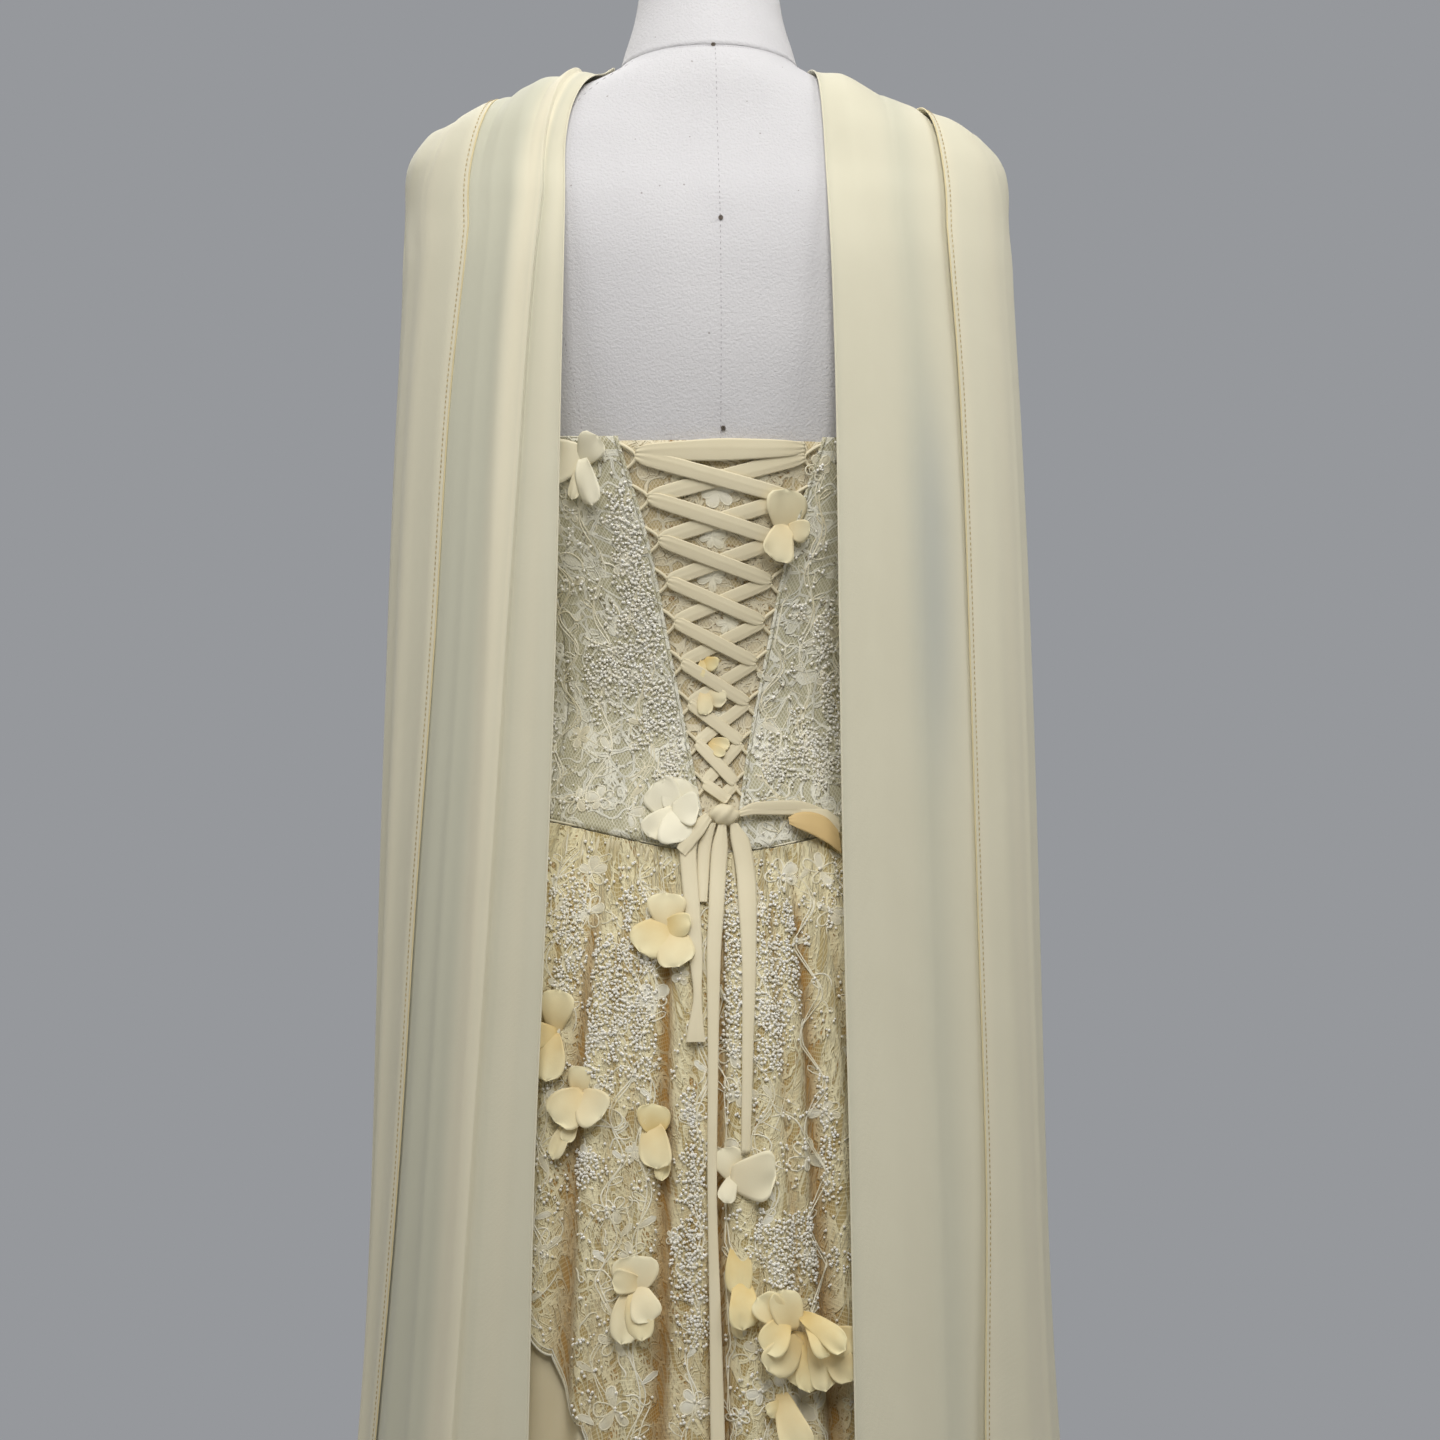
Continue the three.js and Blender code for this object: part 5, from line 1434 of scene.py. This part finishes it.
def on_skirt(angle, z, margin=6):
    """Whether a place is on the lace skirt, clear of its edges and not down in a fold."""
    ragged = 0.5 * speckle(angle * 150 + 900, z, 6, 9)
    raised = (fold_valleys(angle, z) + ragged < 0.95) | (z > 955)
    return raised & (z < waist_seam_z(angle) - margin) & (z > lace_hem_z(angle) + margin)


def behind_places(carrier, rows):
    """The angles of places given by x and z behind, and the rows themselves."""
    data = np.array(rows, float)
    return carrier[0].angle_at(data[:, 0], data[:, 1]), data


def bead_density(carrier, rows, chance, z_low, z_high, hidden):
    """Soft ellipses: those listed behind, and others like them, in upright runs, on hidden sides."""
    angle, data = behind_places(carrier, rows)
    zones = [angle, data[:, 1], data[:, 2], data[:, 3]]
    far = chance.uniform(math.radians(62), math.radians(298), hidden)
    height = chance.uniform(z_low, z_high, hidden)
    more = [wrapped(far), height, chance.uniform(7, 17, hidden), chance.uniform(14, 32, hidden)]
    zones = [np.concatenate(pair) for pair in zip(zones, more)]
    radius = ring_radius(carrier, zones[0], zones[1])

    def density(at_angle, at_z):
        total = np.zeros(at_angle.shape)
        for middle, z, wide, tall, r in zip(*zones, radius):
            away = wrapped(at_angle - middle) * r / wide
            total = np.maximum(total, 1.3 - 0.85 * np.sqrt(away**2 + ((at_z - z) / tall) ** 2))
        return total

    return density


def bead_places(carrier, density, inside, chance, z_low, z_high, spacing=1.85, enough=1.14):
    """Beads crowd where the density, roughened by patches 8 mm and 3.6 mm across, is enough."""
    angle, z = lattice(carrier, chance, z_low, z_high, spacing, 0.62)
    arc = angle * BODY_RADIUS
    rough = 0.8 * speckle(arc + 900, z, 8, 3) + 0.5 * speckle(arc + 900, z, 3.6, 4)
    rough = rough + chance.uniform(-0.4, 0.4, len(angle))
    keep = (density(angle, z) + rough > enough) & inside(angle, z, 3)
    return angle[keep], z[keep]


def vines(carrier, inside, chance, degrees, z_low, z_high):
    """Upright wavering cords, with leaves to left and right by turns. Returns the cords and the leaves."""
    strands, leaves = [], []
    step = 3.0
    for base in degrees:
        z = np.arange(z_low, z_high, step)
        phase, wave, swing = chance.uniform(0, 6.28), chance.uniform(34, 60), chance.uniform(3, 7)
        drift = chance.uniform(-0.05, 0.05)
        angle0 = math.radians(base)
        radius = ring_radius(carrier, angle0, z)
        path = swing * np.sin(z / wave * 2 * math.pi + phase) + drift * (z - z_low)
        angle = wrapped(angle0 + path / radius)
        kept = inside(angle, z, 2)
        if kept.sum() < 12:
            continue
        angle, z = angle[kept], z[kept]
        strands.append((angle, z))
        spots = np.arange(2 + int(chance.integers(3)), len(z) - 2, 5)
        bearing = np.where(np.arange(len(spots)) % 2 == 0, 1.0, -1.0) * math.radians(50)
        size = chance.uniform(7, 12, len(spots))
        bearing = bearing + chance.uniform(-0.35, 0.35, len(spots))
        leaves.append(np.stack([angle[spots], z[spots], size, bearing]))
    return strands, np.concatenate(leaves, axis=1)


def strand_threads(carrier, strands, radius, pair=1.3):
    """Lays each strand twice, a little apart, as a double cord whose two threads cross now and then."""
    parts = []
    for angle, z in strands:
        reach = ring_radius(carrier, angle, z)
        for side in (-1, 1):
            sway = side * pair * np.sin(z / 9.0) / reach
            zero = np.zeros((1, len(z)))
            middle = wrapped(angle + sway)
            turns = wrapped(middle - middle[0]) * reach[0]
            parts.append(threads(carrier, middle[:1], z[:1], turns[None] + zero, (z - z[0])[None], radius))
    return joined(parts)


def scrolls(carrier, inside, chance, z_low, z_high, spacing):
    """Thin wandering cords: each sets off at a random bearing and turns as it goes, by a steady curl and a
    slower sway."""
    angle, z = lattice(carrier, chance, z_low, z_high, spacing)
    count = len(angle)
    share = np.linspace(0, 1, 15)[None, :]
    length = chance.uniform(14, 38, count)[:, None]
    heading = chance.uniform(0, 2 * math.pi, count)[:, None]
    curl, sway = chance.uniform(-4.2, 4.2, count)[:, None], chance.uniform(0, 1.6, count)[:, None]
    heading = heading + curl * share + sway * np.sin(2 * math.pi * share + heading)
    step = length / share.shape[1]
    across, up = np.cumsum(np.cos(heading) * step, axis=1), np.cumsum(np.sin(heading) * step, axis=1)
    place, height = spread(carrier, angle, z, across, up)
    whole = inside(place, height, 2).all(axis=1)
    return angle[whole], z[whole], across[whole], up[whole]


def flower_places(carrier, rows, inside, chance, z_low, z_high, spacing, share):
    """The listed flowers, and others between them wherever there is room."""
    angle, data = behind_places(carrier, rows)
    far_angle, far_z = lattice(carrier, chance, z_low, z_high, spacing)
    size = chance.uniform(5, 11, len(far_angle))
    lucky = chance.random(len(far_angle)) < share
    gap = np.full(len(far_angle), 1e9)
    for a, row in zip(angle, data):
        away = np.hypot(wrapped(far_angle - a) * BODY_RADIUS, far_z - row[1])
        gap = np.minimum(gap, away - row[2])
    keep = lucky & (gap > size) & inside(far_angle, far_z, 9)
    placed = inside(angle, data[:, 1], 4)
    return (
        np.concatenate([angle[placed], far_angle[keep]]),
        np.concatenate([data[placed, 1], far_z[keep]]),
        np.concatenate([data[placed, 2], size[keep]]),
    )


def flower_petals(angle, z, size, chance, petals=5):
    """Every flower's petals, as one row each: angle, z, length, width and bearing."""
    first = chance.uniform(0, 2 * math.pi, len(angle))
    bearing = (first[:, None] + np.arange(petals) * 2 * math.pi / petals).ravel()
    bearing = bearing + chance.uniform(-0.12, 0.12, len(bearing))
    length = np.repeat(size, petals) * chance.uniform(0.7, 1.2, len(bearing))
    width = length * chance.uniform(0.3, 0.5, len(bearing))
    return np.repeat(angle, petals), np.repeat(z, petals), length, width, bearing


def windowpanes(carrier, rows, chance, extra, inside, z_low, z_high, spacing=6.0):
    """Patches of crossed straight threads, a spacing apart, on two slants."""
    angle, data = behind_places(carrier, rows)
    far = chance.uniform(math.radians(70), math.radians(290), extra)
    height = chance.uniform(z_low, z_high, extra)
    more = np.stack([far * 0, height, np.full(extra, 15.0), np.full(extra, 17.0)], axis=1)
    lines = []
    for a, (_, z, wide, tall) in zip(np.concatenate([angle, wrapped(far)]), np.concatenate([data, more])):
        for slant in (math.radians(62), math.radians(-28)):
            for offset in np.arange(-tall, tall + 1, spacing):
                half = math.sqrt(max(tall**2 - offset**2, 4.0)) * wide / tall
                t = np.linspace(-half, half, 14)
                x = t * math.sin(slant) + offset * math.cos(slant)
                y = t * math.cos(slant) - offset * math.sin(slant)
                lines.append((a, z, x, y))
    angle, z, across, up = (np.array(values) for values in zip(*lines))
    place, height = spread(carrier, angle, z, across, up)
    whole = inside(place, height, 3).all(axis=1)
    return threads(carrier, angle[whole], z[whole], across[whole], up[whole], CORD_RADIUS["pane"])


def add_lace(name, carrier, inside, z_range, tables, vine_step, flower_share, cord_step, seed):
    """All the lace of the bodice or of the skirt: corded vines and outlines, close-worked petals, windowpane
    net, and beads clear of the silk petals, each in a piece for the back and a piece for the front."""
    bead_rows, flower_rows, pane_rows = tables
    z_low, z_high = z_range
    chance = np.random.default_rng(seed)
    strands, leaves = vines(carrier, inside, chance, np.arange(-180, 180, vine_step), z_low, z_high)
    angle, z, size = flower_places(carrier, flower_rows, inside, chance, z_low, z_high, 30, flower_share)
    petal = flower_petals(angle, z, size, chance)
    leaf = (leaves[0], leaves[1], leaves[2], leaves[2] * 0.24, leaves[3])
    loose = scrolls(carrier, inside, chance, z_low, z_high, cord_step)
    hidden = int((z_high - z_low) / 8)
    density = bead_density(carrier, bead_rows, chance, z_low, z_high, hidden)
    bead_angle, bead_z = bead_places(carrier, density, inside, chance, z_low, z_high)
    crowd = chance.integers(0, len(angle), 3 * len(angle))
    bead_angle = np.concatenate([bead_angle, angle[crowd] + chance.uniform(-0.013, 0.013, len(crowd))])
    bead_z = np.concatenate([bead_z, z[crowd] + chance.uniform(-1.8, 1.8, len(crowd))])
    bare = clear_of_petals(carrier, bead_angle, bead_z)
    bead_angle, bead_z = bead_angle[bare], bead_z[bare]
    bead_size = chance.uniform(0.68, 1.2, len(bead_angle))
    for half, sign in (("back", 1), ("front", -1)):
        mine = lambda values: np.cos(values) * sign > 0
        pick = lambda rows, keep: [row[keep] for row in rows]
        petals, some_leaves = pick(petal, mine(petal[0])), pick(leaf, mine(leaf[0]))
        runs = [run for run in strands if mine(run[0][:1])[0]]
        sewn_piece(f"{name}_cords_{half}", [
            strand_threads(carrier, runs, CORD_RADIUS["vine"]),
            outlines(carrier, *petals, CORD_RADIUS["petal"]),
            outlines(carrier, *some_leaves, CORD_RADIUS["leaf"], points=9),
            threads(carrier, *pick(loose, mine(loose[0])), CORD_RADIUS["loose"]),
        ], THREAD)
        filled = chance.random(len(petals[0])) < 0.6
        closed = chance.random(len(some_leaves[0])) < 0.4
        sewn_piece(f"{name}_worked_{half}", [
            patches(carrier, *pick(petals, filled)),
            patches(carrier, *pick(some_leaves, closed), dome=0.5, columns=2, rows=4),
        ], WHITE_THREAD)
        keep = mine(bead_angle)
        points, faces = beads(carrier, bead_angle[keep], bead_z[keep], bead_size[keep])
        finish_piece(make_mesh(f"{name}_beads_{half}", points, faces), BEAD)
    panes = windowpanes(carrier, pane_rows, chance, 10, inside, z_low, z_high)
    sewn_piece(f"{name}_windowpanes", [panes], THREAD)


def add_panel_lace():
    """The sprigs of the modesty panel, which show between the ribbons."""
    chance = np.random.default_rng(21)
    angle, data = behind_places(PANEL_CLOTH, PANEL_FLOWERS)
    petal = flower_petals(angle, data[:, 1], data[:, 2], chance, 6)
    rims = outlines(PANEL_CLOTH, *petal, CORD_RADIUS["sprig"])
    sewn_piece("panel_sprigs", [rims, patches(PANEL_CLOTH, *petal, dome=0.5)], THREAD)


def add_waist_gathers():
    """The bodice's corded hem, and under it the small gathers that the lace skirt is set in with."""
    angle = np.linspace(0, 2 * math.pi, 900)
    foot, normal = on_cloth((FORM, BODICE_FACE - 1.0), angle, waist_seam_z(angle) + 0.4)
    sewn_piece("bodice_hem_cord", [tube(foot[None], CORD_RADIUS["edge"], normal[None])], THREAD)
    chance = np.random.default_rng(8)
    turn = np.sort(chance.uniform(0, 2 * math.pi, 120))
    reach = chance.uniform(7, 24, len(turn))
    share = np.linspace(0, 1, 7)[None, :]
    up = waist_seam_z(turn)[:, None] - 0.8 - reach[:, None] * share
    side = chance.uniform(-0.012, 0.012, len(turn))[:, None] * share**2
    foot, normal = on_cloth(SKIRT_CLOTH, turn[:, None] + side, up)
    run = foot + normal * (1.0 * (1 - share) ** 1.5 - 0.75)[..., None]
    sewn_piece("skirt_heading_gathers", [tube(run, 1.2, normal, squash=0.7)], GATHER)


def add_edgings():
    """A double cord along the lace's scalloped hem, and one cord along the bodice's top."""
    parts = []
    for start in np.radians(np.arange(0, 360, 30)):
        angle = np.linspace(start, start + math.radians(30), 150)
        for above, size in ((0.8, 0.7), (4, 0.4)):
            z = lace_hem_z(angle) + above
            across = (angle - angle[0]) * ring_radius(SKIRT_CLOTH, angle[:1], z[:1])
            parts.append(threads(SKIRT_CLOTH, angle[:1], z[:1], across[None], (z - z[0])[None], size))
    sewn_piece("lace_hem_cord", parts, WHITE_THREAD)
    edge = float(opening_angle(float(BODICE_TOP_BACK_Z), EDGE_BAND))
    angle = np.linspace(edge, 2 * math.pi - edge, 700)
    foot, normal = on_cloth(BODICE_CLOTH, angle, bodice_top_z(angle) - 0.4)
    cord = tube((foot + normal * -0.3)[None], CORD_RADIUS["edge"], normal[None])
    sewn_piece("bodice_top_cord", [cord], WHITE_THREAD)


# ---- petal clusters ----
PETAL_GROWTH = 1.4  # how much longer and wider a petal is than its row says
FOOT_BACK = 0.13  # the share of its length by which its foot is set back
# Each cluster: its middle x and z, how pale it is, and its petals as (across, up) of the foot from the
# middle, bearing in degrees clockwise from up, length, width and how far it stands up.
BACK_BLOSSOMS = [
    (82, 1219, 0.9, [(-1, 3, 262, 19, 22, 0.3), (1, 0, 40, 16, 14, 0.55), (0, -3, 197, 18, 7, 0.3),
                     (2, -2, 168, 22, 12, 0.4)]),
    (-39, 1178, 0.5, [(0, 0, 5, 20, 20, 0.3), (-1, 0, 205, 17, 16, 0.45), (3, 0, 100, 10, 11, 0.6)]),
    (30, 1004, 0.9, [(2, 0, 318, 17, 19, 0.3), (2, 1, 22, 16, 19, 0.4), (1, -1, 215, 18, 13, 0.3),
                     (2, -2, 160, 17, 19, 0.45), (3, 0, 92, 13, 16, 0.5)]),
    (35, 936, 0.15, [(1, 0, 95, 13, 12, 0.6), (0, 2, 220, 20, 18, 0.3), (3, -4, 160, 19, 19, 0.35),
                     (1, 1, 0, 16, 17, 0.65)]),
    (102, 872, 0.1, [(0, 4, 10, 19, 16, 1.3), (0, 0, 260, 16, 14, 0.5), (0, -3, 180, 22, 16, 0.3)]),
    (90, 829, 0.25, [(4, 9, 15, 13, 18, 0.5), (0, -2, 205, 26, 8, 0.2), (0, -7, 196, 12, 8, 0.4),
                     (5, 7, 130, 16, 18, 0.45), (4, 7, 222, 18, 20, 0.35)]),
    (43, 815, 0.1, [(4, -6, 170, 18, 8, 0.2), (0, 3, 182, 20, 16, 0.3), (0, 2, 2, 13, 16, 0.6)]),
    (-6, 790, 0.6, [(-2, 0, 340, 15, 14, 0.45), (-3, -2, 205, 12, 9, 0.35), (-1, 0, 96, 20, 23, 0.35)]),
    (55, 727, 0.35, [(0, -1, 195, 28, 14, 0.25), (2, -1, 176, 26, 13, 0.35), (2, -1, 155, 18, 14, 0.45),
                     (1, 2, 270, 12, 12, 0.5), (1, 0, 355, 15, 22, 0.5)]),
    (-10, 716, 0.0, [(-3, 36, 183, 26, 12, 0.35), (-2, 17, 176, 27, 13, 0.6), (-1, -2, 186, 15, 10, 0.3)]),
    (-41, 695, 0.1, [(0, 2, 190, 24, 13, 0.2), (5, 0, 178, 25, 14, 0.25), (10, 0, 168, 25, 14, 0.3),
                     (16, -2, 150, 22, 14, 0.3), (17, 3, 115, 16, 14, 0.35), (-2, 0, 225, 21, 16, 0.3),
                     (-9, 11, 225, 18, 14, 0.4), (-10, 11, 320, 18, 14, 0.35), (-6, 9, 352, 18, 16, 0.45),
                     (4, 13, 125, 24, 12, 0.6), (6, 10, 150, 18, 12, 0.7)]),
    (-33, 652, 0.1, [(-1, 8, 240, 10, 8, 0.4), (-1, 10, 170, 27, 15, 0.3)]),
]
FRONT_BLOSSOMS = [
    (62, 1236, 0.4, [(0, 0, 120, 18, 17, 0.35), (0, 0, 200, 20, 14, 0.4), (0, 2, 290, 17, 18, 0.35),
                     (1, 2, 20, 15, 17, 0.55)]),
    (-52, 1120, 0.1, [(0, 0, 170, 20, 16, 0.3), (1, 1, 80, 16, 15, 0.4), (0, 1, 250, 18, 17, 0.35),
                      (0, 2, 350, 15, 16, 0.6)]),
    (48, 930, 0.5, [(0, 0, 150, 22, 15, 0.25), (0, 0, 205, 21, 16, 0.35), (1, 2, 90, 15, 15, 0.4),
                    (-1, 2, 275, 16, 16, 0.4), (0, 2, 0, 14, 19, 0.6)]),
    (-60, 800, 0.15, [(0, 0, 185, 24, 14, 0.25), (1, 0, 140, 19, 15, 0.35), (-1, 1, 235, 19, 17, 0.4),
                      (0, 2, 10, 15, 18, 0.55)]),
]
PANEL_BLOSSOMS = [
    (8, 1094, 0.0, [(0, 3, 190, 9, 7, 0.3), (0, 3, 120, 7, 7, 0.4)]),
    (6, 1073, 0.3, [(-3, 3, 110, 12, 9, 0.2), (-3, 3, 170, 11, 8, 0.35)]),
    (3, 1044, 0.2, [(-2, 2, 105, 10, 6, 0.2), (-2, 0, 140, 9, 5, 0.3)]),
]
BLOSSOMS = {"back": BACK_BLOSSOMS, "front": FRONT_BLOSSOMS, "panel": PANEL_BLOSSOMS}


def clear_of_petals(carrier, angle, z, reach=19):
    """Whether a place is further than the reach from the middle of every petal cluster."""
    clear = np.ones(angle.shape, bool)
    for half in ("back", "front"):
        for x, height, *_ in BLOSSOMS[half]:
            middle = carrier[0].angle_at(np.array(float(x)), np.array(float(height)), half)
            away = wrapped(angle - middle) * ring_radius(carrier, middle, np.array(float(height)))
            clear &= np.hypot(away, z - height) > reach
    return clear


def node_lift(node_name, point, normal):
    """How far the node's underside stands off the surface, along the normal."""
    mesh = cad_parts[node_name].data
    places = np.zeros(len(mesh.vertices) * 3, np.float32)
    mesh.vertices.foreach_get("co", places)
    return float(((places.reshape(-1, 3) / MM - point) @ normal).min())


def petal_sheet(petal, layer, chance, columns=12, rows=12):
    """One petal, as grids of across, up and height over the cloth. Its half width goes as
    v^0.46 (1 - v^5)^0.5. It rises from its foot as v (1.6 - v), is dished or crowned by a little u^2, and its
    rim ripples, but for the tip."""
    foot_x, foot_y, bearing, length, width, rise = petal
    length, width = length * PETAL_GROWTH, width * PETAL_GROWTH
    turn = math.radians(bearing)
    foot_x = foot_x - FOOT_BACK * length * math.sin(turn)
    foot_y = foot_y - FOOT_BACK * length * math.cos(turn)
    rise = rise * (0.8 - 0.65 * max(0, math.cos(turn)))
    u, v = np.meshgrid(np.linspace(-1, 1, columns + 1), np.linspace(0.02, 1, rows + 1))
    phase, lean, dish = chance.uniform(0, 6.28), chance.uniform(-0.12, 0.12), chance.uniform(-0.1, 0.14)
    half = width / 2 * 1.2 * (0.04 + 0.96 * v) ** 0.46 * np.sqrt(np.clip(1 - v**5, 0, 1))
    aside = u * half * (1 + 0.06 * np.sin(5 * v + phase)) + lean * length * v**2
    out = length * v * (1 - 0.1 * rise * v) + 0.05 * length * np.sin(3.1 * u + phase) * v**3 * (1 - v**6)
    height = length * rise * v * (1.6 - v) + dish * half * u**2 * (0.4 + v) + lean * 1.6 * half * u
    ripple = 0.05 * length * np.sin(4.2 * u + phase) * v**3 * (1 - v**8)
    ripple = ripple + 0.035 * length * np.sin(6 * v + phase) * np.abs(u) ** 3 * (1 - v**8)
    height = np.maximum(height + ripple + 1.1 * v, 0.15) + 0.55 * layer
    across = foot_x + out * math.sin(turn) + aside * math.cos(turn)
    up = foot_y + out * math.cos(turn) - aside * math.sin(turn)
    return across, up, height, aside, out, v


def add_blossoms():
    """Clusters of thin silk petals, sewn on by their feet."""
    chance = np.random.default_rng(33)
    clusters = [(half, i + 1, *row) for half, rows in BLOSSOMS.items() for i, row in enumerate(rows)]
    for half, number, x, z, pale, petals in clusters:
        surface = FORM if z > WAIST_SIDE_Z else WAIST
        z = np.array(float(z))
        angle = surface.angle_at(np.array(float(x)), z, "front" if half == "front" else "back")
        point, normal = surface.at(angle, z)
        stands_for = [] if half == "panel" else [f"blossom_{half}_{number}"]
        lift = node_lift(stands_for[0], point, normal) if stands_for else MODESTY_FACE + 1.2
        right = unit(np.cross([0.0, 0.0, 1.0], normal))
        up_way = np.cross(normal, right)
        parts, laid, along, tint = [], [], [], []
        for layer, petal in enumerate(petals):
            across, up, height, aside, out, v = petal_sheet(petal, layer, chance)
            place = point + right * across[..., None] + up_way * up[..., None]
            place = place + normal * (lift + height)[..., None]
            parts.append((place, grid_faces(v.shape[0] - 1, v.shape[1] - 1)))
            laid.append(np.stack([aside, out], axis=-1).reshape(-1, 2))
            along.append(v.ravel())
            tint.append(np.full(v.size, np.clip(pale + chance.uniform(-0.12, 0.2), 0, 1)))
        points, faces = joined(parts)
        attributes = {"along": np.concatenate(along), "tint": np.concatenate(tint)}
        laid = np.concatenate(laid)
        piece = make_mesh(f"petals_{half}_{number}", points, facing_out(points, faces), laid, attributes)
        finish_piece(piece, PETAL, stands_for, THICK["petal"])


# ---- the stage ----
# The camera stands behind the gown, turned a little. The picture is PICTURE pixels wide, each PIXEL mm at
# the gown's axis.
VIEW_TURN = math.radians(4.2)
CAMERA_DISTANCE = 2000
CAMERA_Z = 1060
PIXEL = 0.64
PICTURE = 1440
AXIS_PIXEL = 709
AIM = (0, 0, 1.1)  # metres, where every lamp points
FLOOR_RINGS = [0.5, 800.0, 1600.0, 2400.0]
BACKDROP = colour(150, 152, 156)
AMBIENT = (0.105, 0.105, 0.098, 1.0)
# Each lamp's place and size in mm, its watts and its tint.
LAMPS = {
    "overhead": ((100, 1100, 2350), 1000, 17, (1.0, 0.985, 0.95)),
    "key": ((-1550, 350, 2250), 1000, 14.5, (1.0, 0.985, 0.95)),
    "fill": ((1800, 600, 2350), 1300, 11, (1.0, 0.99, 0.97)),
    "middle": ((-150, 2000, 2300), 450, 7.0, (1.0, 0.985, 0.95)),
    "front": ((500, -1500, 2700), 1500, 30, (1.0, 0.985, 0.96)),
}


def add_stage():
    """The camera, a pale floor, soft lamps, and a plain backdrop that only the camera sees."""
    turn = np.array([math.sin(VIEW_TURN), math.cos(VIEW_TURN), 0])
    right = np.array([-math.cos(VIEW_TURN), math.sin(VIEW_TURN), 0])
    place = turn * CAMERA_DISTANCE + right * (PICTURE / 2 - AXIS_PIXEL) * PIXEL
    place[2] = CAMERA_Z
    camera = bpy.data.cameras.new("camera")
    camera.lens = camera.sensor_width * CAMERA_DISTANCE / (PIXEL * PICTURE)
    camera.clip_end = 100
    eye = bpy.data.objects.new("camera", camera)
    eye.location = Vector(place * MM)
    eye.rotation_euler = (Vector(-turn)).to_track_quat("-Z", "Y").to_euler()
    bpy.context.scene.collection.objects.link(eye)
    bpy.context.scene.camera = eye

    columns = 96
    turn = np.linspace(0, 2 * math.pi, columns, endpoint=False)
    disc = np.array(FLOOR_RINGS)[:, None, None] * np.stack([np.cos(turn), np.sin(turn), 0 * turn], axis=-1)
    floor = make_mesh("floor", disc, grid_faces(len(FLOOR_RINGS) - 1, columns, closed=True)[:, ::-1])
    pale = Finish("pale floor", 0.9)
    pale.feed("Base Color", blend_colour(
        pale.tree, noise(pale.tree, pale.placed(), 3.0), colour(206, 204, 200), colour(212, 210, 206)
    ))
    floor.data.materials.append(pale.material)
    floor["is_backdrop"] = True

    for name, (spot, size, power, tint) in LAMPS.items():
        lamp = bpy.data.lights.new(name, "AREA")
        lamp.size = size * MM
        lamp.energy = power
        lamp.color = tint
        holder = bpy.data.objects.new(name, lamp)
        holder.location = Vector(spot) * MM
        aim = Vector(AIM) - holder.location
        holder.rotation_euler = aim.to_track_quat("-Z", "Y").to_euler()
        bpy.context.scene.collection.objects.link(holder)
    world = bpy.data.worlds.new("studio")
    world.use_nodes = True
    tree = world.node_tree
    seen = node(tree, "ShaderNodeBackground", {"Color": BACKDROP, "Strength": 1.0})
    lit = tree.nodes["Background"]
    lit.inputs["Color"].default_value = AMBIENT
    path = node(tree, "ShaderNodeLightPath").outputs["Is Camera Ray"]
    both = node(tree, "ShaderNodeMixShader", {0: path, 1: lit.outputs[0], 2: seen.outputs[0]})
    tree.links.new(both.outputs[0], tree.nodes["World Output"].inputs["Surface"])
    bpy.context.scene.world = world
    bpy.context.scene.view_settings.view_transform = "Standard"


add_stage()
add_form()
add_form_details()
add_bodice()
add_loops()
add_lacing()
add_tie()
add_skirts()
add_cape()
bodice_tables = (BODICE_BEADS, BODICE_FLOWERS, PANES["bodice"])
skirt_tables = (SKIRT_BEADS, SKIRT_FLOWERS, PANES["skirt"])
add_lace(
    "bodice", BODICE_CLOTH, on_bodice, (985, 1270), bodice_tables,
    vine_step=16, flower_share=0.3, cord_step=28, seed=41,
)
add_lace(
    "skirt", SKIRT_CLOTH, on_skirt, (505, 990), skirt_tables,
    vine_step=9, flower_share=0.45, cord_step=19, seed=42,
)
add_panel_lace()
add_edgings()
add_waist_gathers()
add_blossoms()
for name, finish in {"form_neck_cap": CANVAS_CAP, "stand_base": PAINT, "stand_pole": PAINT}.items():
    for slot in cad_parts[name].material_slots:
        slot.material = finish

{"cad": CAD_BOX, "visual": [list(corner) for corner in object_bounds()]}
